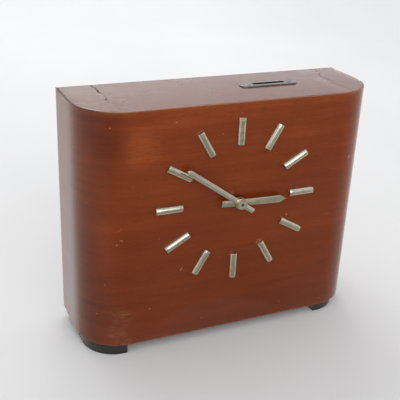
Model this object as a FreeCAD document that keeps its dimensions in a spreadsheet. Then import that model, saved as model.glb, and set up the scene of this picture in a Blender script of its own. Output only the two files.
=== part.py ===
import FreeCAD, Part
import math
import os
import re
import Sketcher
from FreeCAD import Placement, Rotation, Vector

# Table clock with a coin slot in the top: wooden case on two runners, applied
# half-round batons for the hours, a spring-wound lever movement behind the
# front board and a money compartment beside it, emptied by a small rear door.
# Millimetres. +X to the right seen from the front, +Y to the back, +Z up.
# Origin on the floor, under the middle of the bounding box.

doc = FreeCAD.newDocument("table_clock")
sheet = doc.addObject("Spreadsheet::Sheet", "dims")

CELLS = [
    # case
    ("case_w", 250.0), ("case_d", 75.0), ("case_h", 196.5), ("corner_r", 35.0),
    ("foot_h", 8.0), ("veneer_t", 0.8), ("seam_x", 97.0),
    ("front_t", 10.0), ("top_t", 12.0), ("bottom_t", 10.0),
    ("back_t", 5.0), ("back_in", 28.5), ("panel_gap", 0.3),
    ("divider_x", 22.5), ("divider_t", 4.0), ("cleat_s", 8.0),
    # runners
    ("foot_side_left", 121.5), ("foot_side_right", 116.0), ("foot_rear", 33.0),
    ("foot_front_left", 36.6), ("foot_front_right", 35.2),
    ("foot_r", 27.0), ("foot_in_left", 91.5), ("foot_in_right", 85.5),
    # coin slot
    ("slot_x", 41.2), ("slot_y", 1.8), ("slot_len", 28.8), ("slot_wid", 4.6),
    ("plate_len", 51.6), ("plate_wid", 10.8), ("plate_t", 1.2),
    ("plate_r", 5.3), ("plate_screw_x", 18.6),
    # money door
    ("door_x0", 34.0), ("door_x1", 86.0), ("door_z0", 28.0), ("door_z1", 118.0),
    ("door_gap", 0.6), ("hinge_x", 86.2), ("hinge_y", 35.7), ("knuckle_r", 2.0),
    ("hinge_pin_r", 0.9), ("hinge_h", 20.0), ("hinge_low", 36.0),
    ("hinge_high", 90.0), ("leaf_t", 0.9),
    ("lock_x", 42.0), ("lock_z", 73.0),
    # dial
    ("hub_x", -1.2), ("hub_z", 123.95), ("baton_out", 69.0), ("baton_len", 22.0),
    ("baton_r", 3.25), ("baton_pin_r", 0.7), ("baton_pin_len", 7.0),
    ("hour_len", 41.7), ("hour_wid", 6.2), ("hour_tail", 15.6), ("hour_angle", 92.7),
    ("minute_len", 56.9), ("minute_wid", 4.5), ("minute_tail", 14.1),
    ("minute_angle", 305.2), ("hour_arrow", 5.3), ("minute_arrow", 2.0),
    # movement frame
    ("fp_y0", -19.5), ("fp_y1", -18.0), ("bp_y0", 4.0), ("bp_y1", 5.5),
    ("mv_x0", -55.2), ("mv_x1", 20.8), ("mv_z0", 79.25), ("mv_z1", 151.25),
    ("pillar_xa", -51.2), ("pillar_xb", 16.8), ("pillar_za", 83.25), ("pillar_zb", 147.25),
    ("ear_xa", -49.2), ("ear_xb", 14.8), ("ear_za", 75.25), ("ear_zb", 155.25),
    # arbor positions
    ("barrel_x", -8.8185), ("barrel_z", 103.0183),
    ("third_x", -8.4), ("third_z", 136.4208),
    ("fourth_x", -21.32), ("fourth_z", 136.4208),
    ("escape_x", -23.3274), ("escape_z", 125.0364),
    ("lever_x", -32.7815), ("lever_z", 123.3694),
    ("balance_x", -42.6296), ("balance_z", 121.6329),
    ("minw_x", 9.1923), ("minw_z", 117.95),
    ("click_x", 0.7571), ("click_z", 111.0532),
    # gear modules
    ("mod_barrel", 0.55), ("mod_centre", 0.40), ("mod_third", 0.38),
    ("mod_fourth", 0.34), ("mod_minute", 0.50), ("mod_hour", 0.48),
    ("gear_t", 1.0),
]
D = dict(CELLS)
for row, (name, number) in enumerate(CELLS, start=1):
    sheet.set("A%d" % row, name)
    sheet.set("B%d" % row, str(number))
    sheet.setAlias("B%d" % row, name)
doc.recompute()

PARTS = []


def E(text):
    """Expression text with every alias pointed at its cell."""
    return re.sub(
        r"[A-Za-z_][A-Za-z_0-9]*",
        lambda hit: "dims." + hit.group(0) if hit.group(0) in D else hit.group(0),
        str(text),
    )


def bind(obj, **props):
    for key, text in props.items():
        obj.setExpression(key.replace("__", "."), E(text))


def box(name, x0, x1, y0, y1, z0, z1):
    o = doc.addObject("Part::Box", name)
    bind(
        o,
        Length="(%s)-(%s)" % (x1, x0), Width="(%s)-(%s)" % (y1, y0),
        Height="(%s)-(%s)" % (z1, z0),
        Placement__Base__x=x0, Placement__Base__y=y0, Placement__Base__z=z0,
    )
    return o


def cyl(name, x, z, y0, y1, r):
    """Cylinder along +Y."""
    o = doc.addObject("Part::Cylinder", name)
    o.Placement = Placement(Vector(), Rotation(Vector(1, 0, 0), -90))
    bind(o, Radius=r, Height="(%s)-(%s)" % (y1, y0))
    bind(o, Placement__Base__x=x, Placement__Base__y=y0, Placement__Base__z=z)
    return o


def cylz(name, x, y, z0, z1, r):
    """Cylinder along +Z."""
    o = doc.addObject("Part::Cylinder", name)
    bind(o, Radius=r, Height="(%s)-(%s)" % (z1, z0))
    bind(o, Placement__Base__x=x, Placement__Base__y=y, Placement__Base__z=z0)
    return o


def cone(name, x, y, z0, z1, ra, rb):
    """Cone along +Z for countersunk heads."""
    o = doc.addObject("Part::Cone", name)
    bind(o, Radius1=ra, Radius2=rb, Height="(%s)-(%s)" % (z1, z0))
    bind(o, Placement__Base__x=x, Placement__Base__y=y, Placement__Base__z=z0)
    return o


def coney(name, x, z, y0, y1, ra, rb):
    """Cone along +Y, radius ra at y0 and rb at y1."""
    o = doc.addObject("Part::Cone", name)
    o.Placement = Placement(Vector(), Rotation(Vector(1, 0, 0), -90))
    bind(o, Radius1=ra, Radius2=rb, Height="(%s)-(%s)" % (y1, y0))
    bind(o, Placement__Base__x=x, Placement__Base__y=y0, Placement__Base__z=z)
    return o


def fuse(name, objs):
    o = doc.addObject("Part::MultiFuse", name)
    o.Shapes = list(objs)
    o.Refine = True
    return o


def cut(name, base, tools):
    o = doc.addObject("Part::Cut", name)
    o.Base = base
    o.Tool = tools[0] if len(tools) == 1 else fuse(name + "_tools", tools)
    o.Refine = True
    return o


def common(name, objs):
    o = doc.addObject("Part::MultiCommon", name)
    o.Shapes = list(objs)
    return o


def group(name, objs):
    o = doc.addObject("Part::Compound", name)
    o.Links = list(objs)
    return o


def feature(name, shape):
    o = doc.addObject("Part::Feature", name)
    o.Shape = shape
    return o


def node(obj, label):
    obj.Label = label
    PARTS.append(obj)
    return obj


# ---------------------------------------------------------------- sketch help
def plane_of(body, role):
    for item in body.Origin.OriginFeatures:
        if item.Role == role:
            return item


def sketch_on(body, name, role, offset=None):
    s = body.newObject("Sketcher::SketchObject", name)
    s.AttachmentSupport = [(plane_of(body, role), "")]
    s.MapMode = "FlatFace"
    if offset is not None:
        s.setExpression("AttachmentOffset.Base.z", E(offset))
    return s


def line(a, b):
    return Part.LineSegment(Vector(a[0], a[1], 0), Vector(b[0], b[1], 0))


def arc(c, r, a0, a1):
    return Part.ArcOfCircle(
        Part.Circle(Vector(c[0], c[1], 0), Vector(0, 0, 1), r),
        math.radians(a0), math.radians(a1),
    )


def ends(g):
    return {1: g.StartPoint, 2: g.EndPoint}


def heading(g, pt):
    """Direction of a line or arc at one of its ends, sign ignored."""
    if isinstance(g, Part.LineSegment):
        d = g.EndPoint - g.StartPoint
    else:
        q = (g.StartPoint if pt == 1 else g.EndPoint) - g.Center
        d = Vector(-q.y, q.x, 0)
    return d.normalize()


def loop(s, geoms):
    """Closed outline: joins that run smooth are tangent, the others meet only."""
    ids = [s.addGeometry(g, False) for g in geoms]
    for i in range(len(ids) if len(ids) > 2 else 1):
        j = (i + 1) % len(ids)
        for pa, va in ends(geoms[i]).items():
            for pb, vb in ends(geoms[j]).items():
                if (va - vb).Length < 1e-6:
                    smooth = abs(heading(geoms[i], pa).dot(heading(geoms[j], pb))) > 0.9999
                    kind = "Tangent" if smooth else "Coincident"
                    s.addConstraint(Sketcher.Constraint(kind, ids[i], pa, ids[j], pb))
    for k, g in zip(ids, geoms):
        if isinstance(g, Part.LineSegment):
            d = g.EndPoint - g.StartPoint
            if abs(d.y) < 1e-9:
                s.addConstraint(Sketcher.Constraint("Horizontal", k))
            elif abs(d.x) < 1e-9:
                s.addConstraint(Sketcher.Constraint("Vertical", k))
    return ids


def at_x(s, geo, pt, text, value):
    if value >= 0:
        c = Sketcher.Constraint("DistanceX", -1, 1, geo, pt, value)
    else:
        c = Sketcher.Constraint("DistanceX", geo, pt, -1, 1, -value)
        text = "-(%s)" % text
    s.setExpression("Constraints[%d]" % s.addConstraint(c), E(text))


def at_y(s, geo, pt, text, value):
    if value >= 0:
        c = Sketcher.Constraint("DistanceY", -1, 1, geo, pt, value)
    else:
        c = Sketcher.Constraint("DistanceY", geo, pt, -1, 1, -value)
        text = "-(%s)" % text
    s.setExpression("Constraints[%d]" % s.addConstraint(c), E(text))


def radius(s, geo, text, value):
    i = s.addConstraint(Sketcher.Constraint("Radius", geo, value))
    s.setExpression("Constraints[%d]" % i, E(text))


def pad(body, name, sk, length, back=False):
    p = body.newObject("PartDesign::Pad", name)
    p.Profile = sk
    p.Reversed = back
    bind(p, Length=length)
    sk.Visibility = False
    body.Tip = p
    return p


# ---------------------------------------------------------------- gear shapes
PRESSURE = math.radians(28.0)


def inv(a):
    return math.tan(a) - a


def gear_points(teeth, module, phase, fill=0.38):
    """Stub involute outline round the origin in the X-Z plane, thinned for
    backlash; one tooth is centred on the angle phase."""
    r = teeth * module / 2.0
    rb = r * math.cos(PRESSURE)
    tip = r + 0.8 * module
    root = r - 1.05 * module
    half = fill * math.pi * module / (2.0 * r)

    def spread(q):
        q = max(q, rb)
        return half + inv(PRESSURE) - inv(math.acos(min(1.0, rb / q)))

    low = max(rb, root)
    radii = [low, (low + r) / 2.0, r, tip]
    pts = []
    for k in range(teeth):
        c = phase + 2.0 * math.pi * k / teeth
        if root < rb - 1e-6:
            pts.append((root, c - spread(low)))
        for q in radii:
            pts.append((q, c - spread(q)))
        for q in reversed(radii):
            pts.append((q, c + spread(q)))
        if root < rb - 1e-6:
            pts.append((root, c + spread(low)))
    return [(q * math.cos(a), q * math.sin(a)) for q, a in pts]


def prism(points, x, z, y0, y1):
    wire = [Vector(x + a, y0, z + b) for a, b in points]
    wire.append(wire[0])
    return Part.Face(Part.makePolygon(wire)).extrude(Vector(0, y1 - y0, 0))


def rod(x, z, y0, y1, r):
    return Part.makeCylinder(r, y1 - y0, Vector(x, y0, z), Vector(0, 1, 0))


def gear(name, teeth, module, x, z, y0, y1, phase, holes=0, hole_at=0.0, hole_r=0.0):
    s = prism(gear_points(teeth, D[module], phase), D[x], D[z], y0, y1)
    for k in range(holes):
        a = 2.0 * math.pi * k / holes
        s = s.cut(rod(D[x] + hole_at * math.cos(a), D[z] + hole_at * math.sin(a), y0 - 1, y1 + 1, hole_r))
    return feature(name, s)


def aim(ax, az, bx, bz):
    return math.atan2(D[bz] - D[az], D[bx] - D[ax])


# ================================================================ wooden case
# outline of the core under the veneer, used to round the front corners
core = doc.addObject("PartDesign::Body", "core")
sk = sketch_on(core, "core_outline", "XY_Plane", "foot_h")
cx = D["case_w"] / 2 - D["veneer_t"]
cb = D["case_d"] / 2
cf = D["case_d"] / 2 - D["veneer_t"]
cr = D["corner_r"] - D["veneer_t"]
mx = D["case_w"] / 2 - D["corner_r"]
my = -D["case_d"] / 2 + D["corner_r"]
ids = loop(sk, [
    line((cx, cb), (-cx, cb)), line((-cx, cb), (-cx, my)), arc((-mx, my), cr, 180, 270),
    line((-mx, -cf), (mx, -cf)), arc((mx, my), cr, 270, 360), line((cx, my), (cx, cb)),
])
radius(sk, ids[2], "corner_r - veneer_t", cr)
radius(sk, ids[4], "corner_r - veneer_t", cr)
at_x(sk, ids[0], 1, "case_w/2 - veneer_t", cx)
at_x(sk, ids[0], 2, "veneer_t - case_w/2", -cx)
at_y(sk, ids[0], 1, "case_d/2", cb)
at_y(sk, ids[3], 1, "veneer_t - case_d/2", -cf)
pad(core, "core_pad", sk, "case_h")

# bent front veneer: front, both rounded corners and both sides in one sheet
skin = doc.addObject("PartDesign::Body", "skin")
sk = sketch_on(skin, "skin_outline", "XY_Plane", "foot_h")
ox = D["case_w"] / 2
of_ = D["case_d"] / 2
orr = D["corner_r"]
ids = loop(sk, [
    line((-ox, cb), (-ox, my)), arc((-mx, my), orr, 180, 270),
    line((-mx, -of_), (mx, -of_)), arc((mx, my), orr, 270, 360),
    line((ox, my), (ox, cb)), line((ox, cb), (cx, cb)),
    line((cx, cb), (cx, my)), arc((mx, my), cr, 270, 360),
    line((mx, -cf), (-mx, -cf)), arc((-mx, my), cr, 180, 270),
    line((-cx, my), (-cx, cb)), line((-cx, cb), (-ox, cb)),
])
radius(sk, ids[1], "corner_r", orr)
radius(sk, ids[3], "corner_r", orr)
radius(sk, ids[7], "corner_r - veneer_t", cr)
radius(sk, ids[9], "corner_r - veneer_t", cr)
at_x(sk, ids[0], 1, "-case_w/2", -ox)
at_x(sk, ids[4], 2, "case_w/2", ox)
at_y(sk, ids[0], 1, "case_d/2", cb)
at_y(sk, ids[2], 1, "-case_d/2", -of_)
at_x(sk, ids[5], 2, "case_w/2 - veneer_t", cx)
at_x(sk, ids[10], 2, "veneer_t - case_w/2", -cx)
at_y(sk, ids[8], 1, "veneer_t - case_d/2", -cf)
pad(skin, "skin_pad", sk, "case_h")
node(
    cut("skin_cut", skin, [cyl("skin_hole", "hub_x", "hub_z", "-case_d/2-2", "-case_d/2+4", "4.2")]),
    "front_veneer",
)

top_z = "foot_h + case_h"
for side, x0, x1 in (
    ("left", "-case_w/2 - 5", "-seam_x"),
    ("right", "seam_x", "case_w/2 + 5"),
):
    node(
        common("end_" + side, [core, box("end_box_" + side, x0, x1, "-case_d", "case_d", "0", top_z)]),
        "end_block_" + side,
    )

top_raw = common(
    "top_raw",
    [core, box("top_box", "-seam_x", "seam_x", "-case_d", "case_d", top_z + " - top_t", top_z)],
)
slot_box = box(
    "slot_box", "slot_x - slot_len/2 - 0.6", "slot_x + slot_len/2 + 0.6",
    "slot_y - slot_wid/2 - 0.4", "slot_y + slot_wid/2 + 0.4", top_z + " - top_t - 1", top_z + " + 1",
)
node(cut("top_slotted", top_raw, [slot_box]), "top_board")

node(
    common(
        "bottom_raw",
        [core, box("bottom_box", "-seam_x", "seam_x", "-case_d", "case_d", "foot_h", "foot_h + bottom_t")],
    ),
    "bottom_board",
)

front_raw = common(
    "front_raw",
    [core, box("front_box", "-seam_x", "seam_x", "-case_d", "veneer_t + front_t - case_d/2",
               "foot_h + bottom_t", top_z + " - top_t")],
)
node(
    cut("front_cut", front_raw, [cyl("front_hole", "hub_x", "hub_z", "-case_d", "0", "4")]),
    "front_board",
)

inner_y = "veneer_t + front_t - case_d/2"
in_z0 = "foot_h + bottom_t"
in_z1 = top_z + " - top_t"
node(
    box("divider", "divider_x", "divider_x + divider_t", inner_y, "back_in", in_z0, in_z1),
    "divider_board",
)

cy0 = "back_in - cleat_s"
node(
    group("cleats", [
        box("cleat_tl", "-seam_x", "divider_x", cy0, "back_in", in_z1 + " - cleat_s", in_z1),
        box("cleat_bl", "-seam_x", "divider_x", cy0, "back_in", in_z0, in_z0 + " + cleat_s"),
        box("cleat_l", "-seam_x", "cleat_s - seam_x", cy0, "back_in", in_z0 + " + cleat_s", in_z1 + " - cleat_s"),
        box("cleat_tr", "divider_x + divider_t", "seam_x", cy0, "back_in", in_z1 + " - cleat_s", in_z1),
        box("cleat_r", "seam_x - cleat_s", "seam_x", cy0, "back_in", in_z0, in_z1 + " - cleat_s"),
    ]),
    "back_cleats",
)

# rear panel with the door opening and clearance holes for key and knob
by1 = "back_in + back_t"
panel = box(
    "panel_box", "panel_gap - seam_x", "seam_x - panel_gap", "back_in", by1,
    in_z0 + " + panel_gap", in_z1 + " - panel_gap",
)
node(
    cut("panel_cut", panel, [
        box("door_hole", "door_x0", "door_x1", "back_in - 1", by1 + " + 1", "door_z0", "door_z1"),
        cyl("key_hole", "barrel_x", "barrel_z", "back_in - 1", by1 + " + 1", "6"),
        cyl("knob_hole", "hub_x", "hub_z", "back_in - 1", by1 + " + 1", "3.5"),
    ]),
    "back_panel",
)
screws = []
for i, (sx, sz) in enumerate([
    ("4 - seam_x", "73"), ("4 - seam_x", "158"), ("seam_x - 4", "73"), ("seam_x - 4", "158"),
    ("-40", in_z1 + " - 4"), ("-40", in_z0 + " + 4"), ("60", in_z1 + " - 4"),
]):
    head = coney("bs_head%d" % i, sx, sz, by1, by1 + " + 1.7", "3.0", "1.9")
    slit = box("bs_slit%d" % i, "%s - 0.35" % sx, "%s + 0.35" % sx, by1 + " + 0.9", by1 + " + 3",
               "%s - 4" % sz, "%s + 4" % sz)
    shank = cyl("bs_shank%d" % i, sx, sz, by1 + " - 11.5", by1 + " + 0.5", "1.3")
    screws.append(cut("bs%d" % i, fuse("bs_raw%d" % i, [head, shank]), [slit]))
node(group("back_screws", screws), "back_panel_screws")


# runners under the two ends, following the rounded front corner
def runner(label, sign, end):
    b = doc.addObject("PartDesign::Body", label + "_body")
    s = sketch_on(b, label + "_outline", "XY_Plane")
    inner, outer, fore = "foot_in_" + end, "foot_side_" + end, "foot_front_" + end
    side = sign * D[outer]
    front, rear, r = -D[fore], D["foot_rear"], D["foot_r"]
    ix = sign * D[inner]
    c = (side - sign * r, front + r)
    corner = arc(c, r, 180, 270) if sign < 0 else arc(c, r, 270, 360)
    g = loop(s, [
        line((side, rear), (side, front + r)), corner, line((side - sign * r, front), (ix, front)),
        line((ix, front), (ix, rear)), line((ix, rear), (side, rear)),
    ])
    radius(s, g[1], "foot_r", r)
    at_x(s, g[0], 1, outer if sign > 0 else "-" + outer, side)
    at_y(s, g[0], 1, "foot_rear", rear)
    at_y(s, g[2], 2, "-" + fore, front)
    at_x(s, g[2], 2, inner if sign > 0 else "-" + inner, ix)
    pad(b, label + "_pad", s, "foot_h")
    holes = []
    for k, sy in enumerate(("-18", "22")):
        fx = ("-" if sign < 0 else "") + "(%s + %s)/2" % (outer, inner)
        holes.append(cylz("%s_bore%d" % (label, k), fx, sy, "2.5", "foot_h + 1", "1.7"))
        holes.append(cylz("%s_sink%d" % (label, k), fx, sy, "-1", "2.5", "3.6"))
    return node(cut(label + "_cut", b, holes), label)


runner("foot_left", -1, "left")
runner("foot_right", 1, "right")
fs = []
for i, (fx, sy) in enumerate([
    ("-(foot_side_left + foot_in_left)/2", "-18"), ("-(foot_side_left + foot_in_left)/2", "22"),
    ("(foot_side_right + foot_in_right)/2", "-18"), ("(foot_side_right + foot_in_right)/2", "22"),
]):
    fs.append(fuse("fs%d" % i, [
        cylz("fs_head%d" % i, fx, sy, "0.7", "2.5", "3.3"),
        cylz("fs_shank%d" % i, fx, sy, "2.4", "foot_h + 8", "1.5"),
    ]))
node(group("foot_screw_set", fs), "foot_screws")

# ================================================================= coin slot
cp = doc.addObject("PartDesign::Body", "slot_plate")
sk = sketch_on(cp, "slot_plate_outline", "XY_Plane", top_z)
px0, px1 = D["slot_x"] - D["plate_len"] / 2, D["slot_x"] + D["plate_len"] / 2
py0, py1 = D["slot_y"] - D["plate_wid"] / 2, D["slot_y"] + D["plate_wid"] / 2
pr = D["plate_r"]
ids = loop(sk, [
    line((px0 + pr, py0), (px1 - pr, py0)), arc((px1 - pr, py0 + pr), pr, 270, 360),
    line((px1, py0 + pr), (px1, py1 - pr)), arc((px1 - pr, py1 - pr), pr, 0, 90),
    line((px1 - pr, py1), (px0 + pr, py1)), arc((px0 + pr, py1 - pr), pr, 90, 180),
    line((px0, py1 - pr), (px0, py0 + pr)), arc((px0 + pr, py0 + pr), pr, 180, 270),
])
for k in (1, 3, 5, 7):
    radius(sk, ids[k], "plate_r", pr)
at_y(sk, ids[0], 1, "slot_y - plate_wid/2", py0)
at_y(sk, ids[4], 1, "slot_y + plate_wid/2", py1)
at_x(sk, ids[2], 1, "slot_x + plate_len/2", px1)
at_x(sk, ids[6], 1, "slot_x - plate_len/2", px0)
cp_pad = pad(cp, "slot_plate_pad", sk, "plate_t")
doc.recompute()
rim = [
    "Edge%d" % (i + 1) for i, e in enumerate(cp_pad.Shape.Edges)
    if abs(e.BoundBox.ZMin - (D["foot_h"] + D["case_h"] + D["plate_t"])) < 1e-6
    and e.BoundBox.ZLength < 1e-6
]
bev = cp.newObject("PartDesign::Chamfer", "slot_plate_bevel")
bev.Base = (cp_pad, rim)
bev.Size = 0.45
bind(bev, Size="plate_t*0.375")
cp.Tip = bev
tools = [box("plate_slot", "slot_x - slot_len/2", "slot_x + slot_len/2", "slot_y - slot_wid/2",
             "slot_y + slot_wid/2", top_z + " - 1", top_z + " + 3")]
for k, sx in (("a", "slot_x - plate_screw_x"), ("b", "slot_x + plate_screw_x")):
    tools.append(cylz("plate_bore_" + k, sx, "slot_y", top_z + " - 1", top_z + " + 2", "1.25"))
    tools.append(cone("plate_sink_" + k, sx, "slot_y", top_z + " + 0.1", top_z + " + 1.3", "1.25", "2.65"))
node(cut("slot_plate_cut", cp, tools), "coin_slot_plate")
ps = []
for k, sx in (("a", "slot_x - plate_screw_x"), ("b", "slot_x + plate_screw_x")):
    raw = fuse("ps_raw_" + k, [
        cone("ps_head_" + k, sx, "slot_y", top_z + " + 0.1", top_z + " + 1.2", "1.2", "2.45"),
        cylz("ps_dome_" + k, sx, "slot_y", top_z + " + 1.2", top_z + " + 1.5", "2.3"),
        cylz("ps_shank_" + k, sx, "slot_y", top_z + " - 8", top_z + " + 0.5", "1.15"),
    ])
    ps.append(cut("ps_" + k, raw, [box(
        "ps_slit_" + k, "%s - 0.3" % sx, "%s + 0.3" % sx, "slot_y - 4", "slot_y + 4",
        top_z + " + 0.9", top_z + " + 3")]))
node(group("plate_screw_set", ps), "slot_plate_screws")

# =============================================================== money door
door = box("door_box", "door_x0 + door_gap", "door_x1 - door_gap", "back_in", by1,
           "door_z0 + door_gap", "door_z1 - door_gap")
node(
    cut("door_cut", door, [cyl("door_lock_hole", "lock_x", "lock_z", "back_in - 1", by1 + " + 1", "6")]),
    "money_door",
)
fixed, moving, pins, screws_f, screws_m = [], [], [], [], []
for k, base in (("a", "hinge_low"), ("b", "hinge_high")):
    third = "hinge_h/3"
    ly0, ly1 = by1, by1 + " + leaf_t"
    spans = [(base, "%s + %s - 0.15" % (base, third)),
             ("%s + %s + 0.15" % (base, third), "%s + 2*%s - 0.15" % (base, third)),
             ("%s + 2*%s + 0.15" % (base, third), "%s + hinge_h" % base)]
    hf = [box("hf_leaf_" + k, "hinge_x + knuckle_r + 0.4", "hinge_x + 9.6", ly0, ly1, base, base + " + hinge_h")]
    hm = [box("hm_leaf_" + k, "hinge_x - 10.6", "hinge_x - knuckle_r - 0.4", ly0, ly1, base, base + " + hinge_h")]
    for i, (za, zb) in enumerate(spans):
        knuckle = cylz("hk_%s%d" % (k, i), "hinge_x", "hinge_y", za, zb, "knuckle_r")
        if i == 1:
            hm += [knuckle, box("hmw_" + k, "hinge_x - knuckle_r - 0.5", "hinge_x", ly0 + " + 0.1", ly1, za, zb)]
        else:
            hf += [knuckle, box("hfw_%s%d" % (k, i), "hinge_x", "hinge_x + knuckle_r + 0.5", ly0 + " + 0.1", ly1, za, zb)]
    fx, mxx = "hinge_x + 6.0", "hinge_x - 6.6"
    for i, dz in enumerate(("4.5", "hinge_h - 4.5")):
        sz = "%s + %s" % (base, dz)
        screws_f.append(fuse("hsf_%s%d" % (k, i), [
            coney("hsf_head_%s%d" % (k, i), fx, sz, ly1, ly1 + " + 0.7", "1.8", "1.2"),
            cyl("hsf_shank_%s%d" % (k, i), fx, sz, by1 + " - 4", ly1 + " + 0.2", "0.9")]))
        screws_m.append(fuse("hsm_%s%d" % (k, i), [
            coney("hsm_head_%s%d" % (k, i), mxx, sz, ly1, ly1 + " + 0.7", "1.8", "1.2"),
            cyl("hsm_shank_%s%d" % (k, i), mxx, sz, by1 + " - 4", ly1 + " + 0.2", "0.9")]))
    hole_f = [cylz("hf_bore_" + k, "hinge_x", "hinge_y", base + " - 1", base + " + hinge_h + 1", "hinge_pin_r")]
    hole_m = [cylz("hm_bore_" + k, "hinge_x", "hinge_y", base + " - 1", base + " + hinge_h + 1", "hinge_pin_r + 0.05")]
    for i, dz in enumerate(("4.5", "hinge_h - 4.5")):
        sz = "%s + %s" % (base, dz)
        hole_f.append(cyl("hf_h_%s%d" % (k, i), fx, sz, ly0 + " - 1", ly1 + " + 1", "0.9"))
        hole_m.append(cyl("hm_h_%s%d" % (k, i), mxx, sz, ly0 + " - 1", ly1 + " + 1", "0.9"))
    fixed.append(cut("hf_" + k, fuse("hf_raw_" + k, hf), hole_f))
    moving.append(cut("hm_" + k, fuse("hm_raw_" + k, hm), hole_m))
    pins.append(fuse("hp_" + k, [
        cylz("hp_rod_" + k, "hinge_x", "hinge_y", base + " - 0.8", base + " + hinge_h + 0.8", "hinge_pin_r"),
        cylz("hp_top_" + k, "hinge_x", "hinge_y", base + " + hinge_h", base + " + hinge_h + 1.2", "1.5"),
        cylz("hp_bot_" + k, "hinge_x", "hinge_y", base + " - 1.2", base, "1.5")]))
node(group("hinges_fixed", fixed), "hinge_leaves_case")
node(group("hinges_moving", moving), "hinge_leaves_door")
node(group("hinges_pins", pins), "hinge_pins")
node(group("hinges_screws_f", screws_f), "hinge_screws_case")
node(group("hinges_screws_m", screws_m), "hinge_screws_door")

node(
    cut("lock_cut", fuse("lock_raw", [
        cyl("lock_flange", "lock_x", "lock_z", by1, by1 + " + 1.2", "7.6"),
        cyl("lock_sleeve", "lock_x", "lock_z", "back_in", by1 + " + 0.5", "6"),
    ]), [cyl("lock_bore", "lock_x", "lock_z", "back_in - 1", by1 + " + 3", "4.05")]),
    "lock_housing",
)
node(
    cut("plug_cut", fuse("plug_raw", [
        cyl("plug_main", "lock_x", "lock_z", "back_in - 0.1", by1 + " + 1.2", "4"),
        cyl("plug_tail", "lock_x", "lock_z", "back_in - 2.6", "back_in", "2"),
    ]), [box("plug_key", "lock_x - 0.6", "lock_x + 0.6", by1 + " - 3", by1 + " + 3", "lock_z - 2.6", "lock_z + 2.6")]),
    "lock_plug",
)
node(
    cut("cam_cut", fuse("cam_raw", [
        box("cam_arm", "lock_x - 3", "lock_x + 3", "back_in - 1.9", "back_in - 0.4", "lock_z - 14", "lock_z"),
        cyl("cam_eye", "lock_x", "lock_z", "back_in - 1.9", "back_in - 0.4", "3"),
    ]), [cyl("cam_hole", "lock_x", "lock_z", "back_in - 3", "back_in + 1", "2")]),
    "lock_cam",
)

# ============================================================ dial and hands
face = -D["case_d"] / 2
bb = doc.addObject("PartDesign::Body", "baton")
sk = sketch_on(bb, "baton_section", "XY_Plane", "hub_z + baton_out - baton_len")
br, hx = D["baton_r"], D["hub_x"]
ids = loop(sk, [arc((hx, face), br, 180, 360), line((hx + br, face), (hx - br, face))])
radius(sk, ids[0], "baton_r", br)
at_x(sk, ids[0], 3, "hub_x", hx)
at_y(sk, ids[1], 1, "-case_d/2", face)
pad(bb, "baton_pad", sk, "baton_len")
one = fuse("baton_one", [
    bb,
    cyl("baton_pin_a", "hub_x", "hub_z + baton_out - baton_len*0.2", "-case_d/2 - 1", "baton_pin_len - case_d/2", "baton_pin_r"),
    cyl("baton_pin_b", "hub_x", "hub_z + baton_out - baton_len*0.8", "-case_d/2 - 1", "baton_pin_len - case_d/2", "baton_pin_r"),
])
doc.recompute()
ring = []
for k in range(12):
    c = one.Shape.copy()
    c.rotate(Vector(D["hub_x"], 0, D["hub_z"]), Vector(0, 1, 0), 30.0 * k)
    ring.append(c)
node(feature("baton_ring", Part.makeCompound(ring)), "hour_batons")


def blade(angle, length, wid, tail, tail_wid, arrow, y_back, y_edge, y_ridge):
    """Bevelled bar with an arrow tip: flat back, two facets and a middle ridge."""
    a = math.radians(angle)
    du = (math.sin(a), math.cos(a))
    dw = (math.cos(a), -math.sin(a))

    def P(u, w, y):
        return Vector(D["hub_x"] + u * du[0] + w * dw[0], y, D["hub_z"] + u * du[1] + w * dw[1])

    sh = length - arrow
    rim_uw = [(-tail, -tail_wid / 2), (sh, -wid / 2), (length, 0.0), (sh, wid / 2), (-tail, tail_wid / 2)]
    low = [P(u, w, y_back) for u, w in rim_uw]
    mid = [P(u, w, y_edge) for u, w in rim_uw]
    rt, rs = P(-tail, 0, y_ridge), P(sh, 0, y_ridge)
    tris = [(low[0], low[1], low[4]), (low[1], low[3], low[4]), (low[1], low[2], low[3])]
    for i in range(5):
        j = (i + 1) % 5
        tris += [(low[i], low[j], mid[j]), (low[i], mid[j], mid[i])]
    tris += [
        (mid[0], mid[1], rs), (mid[0], rs, rt), (mid[3], mid[4], rt), (mid[3], rt, rs),
        (mid[1], mid[2], rs), (mid[2], mid[3], rs), (mid[4], mid[0], rt),
    ]
    faces = [Part.Face(Part.makePolygon([p, q, r, p])) for p, q, r in tris]
    solid = Part.Solid(Part.makeShell(faces))
    if solid.Volume < 0:
        solid.reverse()
    return solid.removeSplitter()


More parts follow.
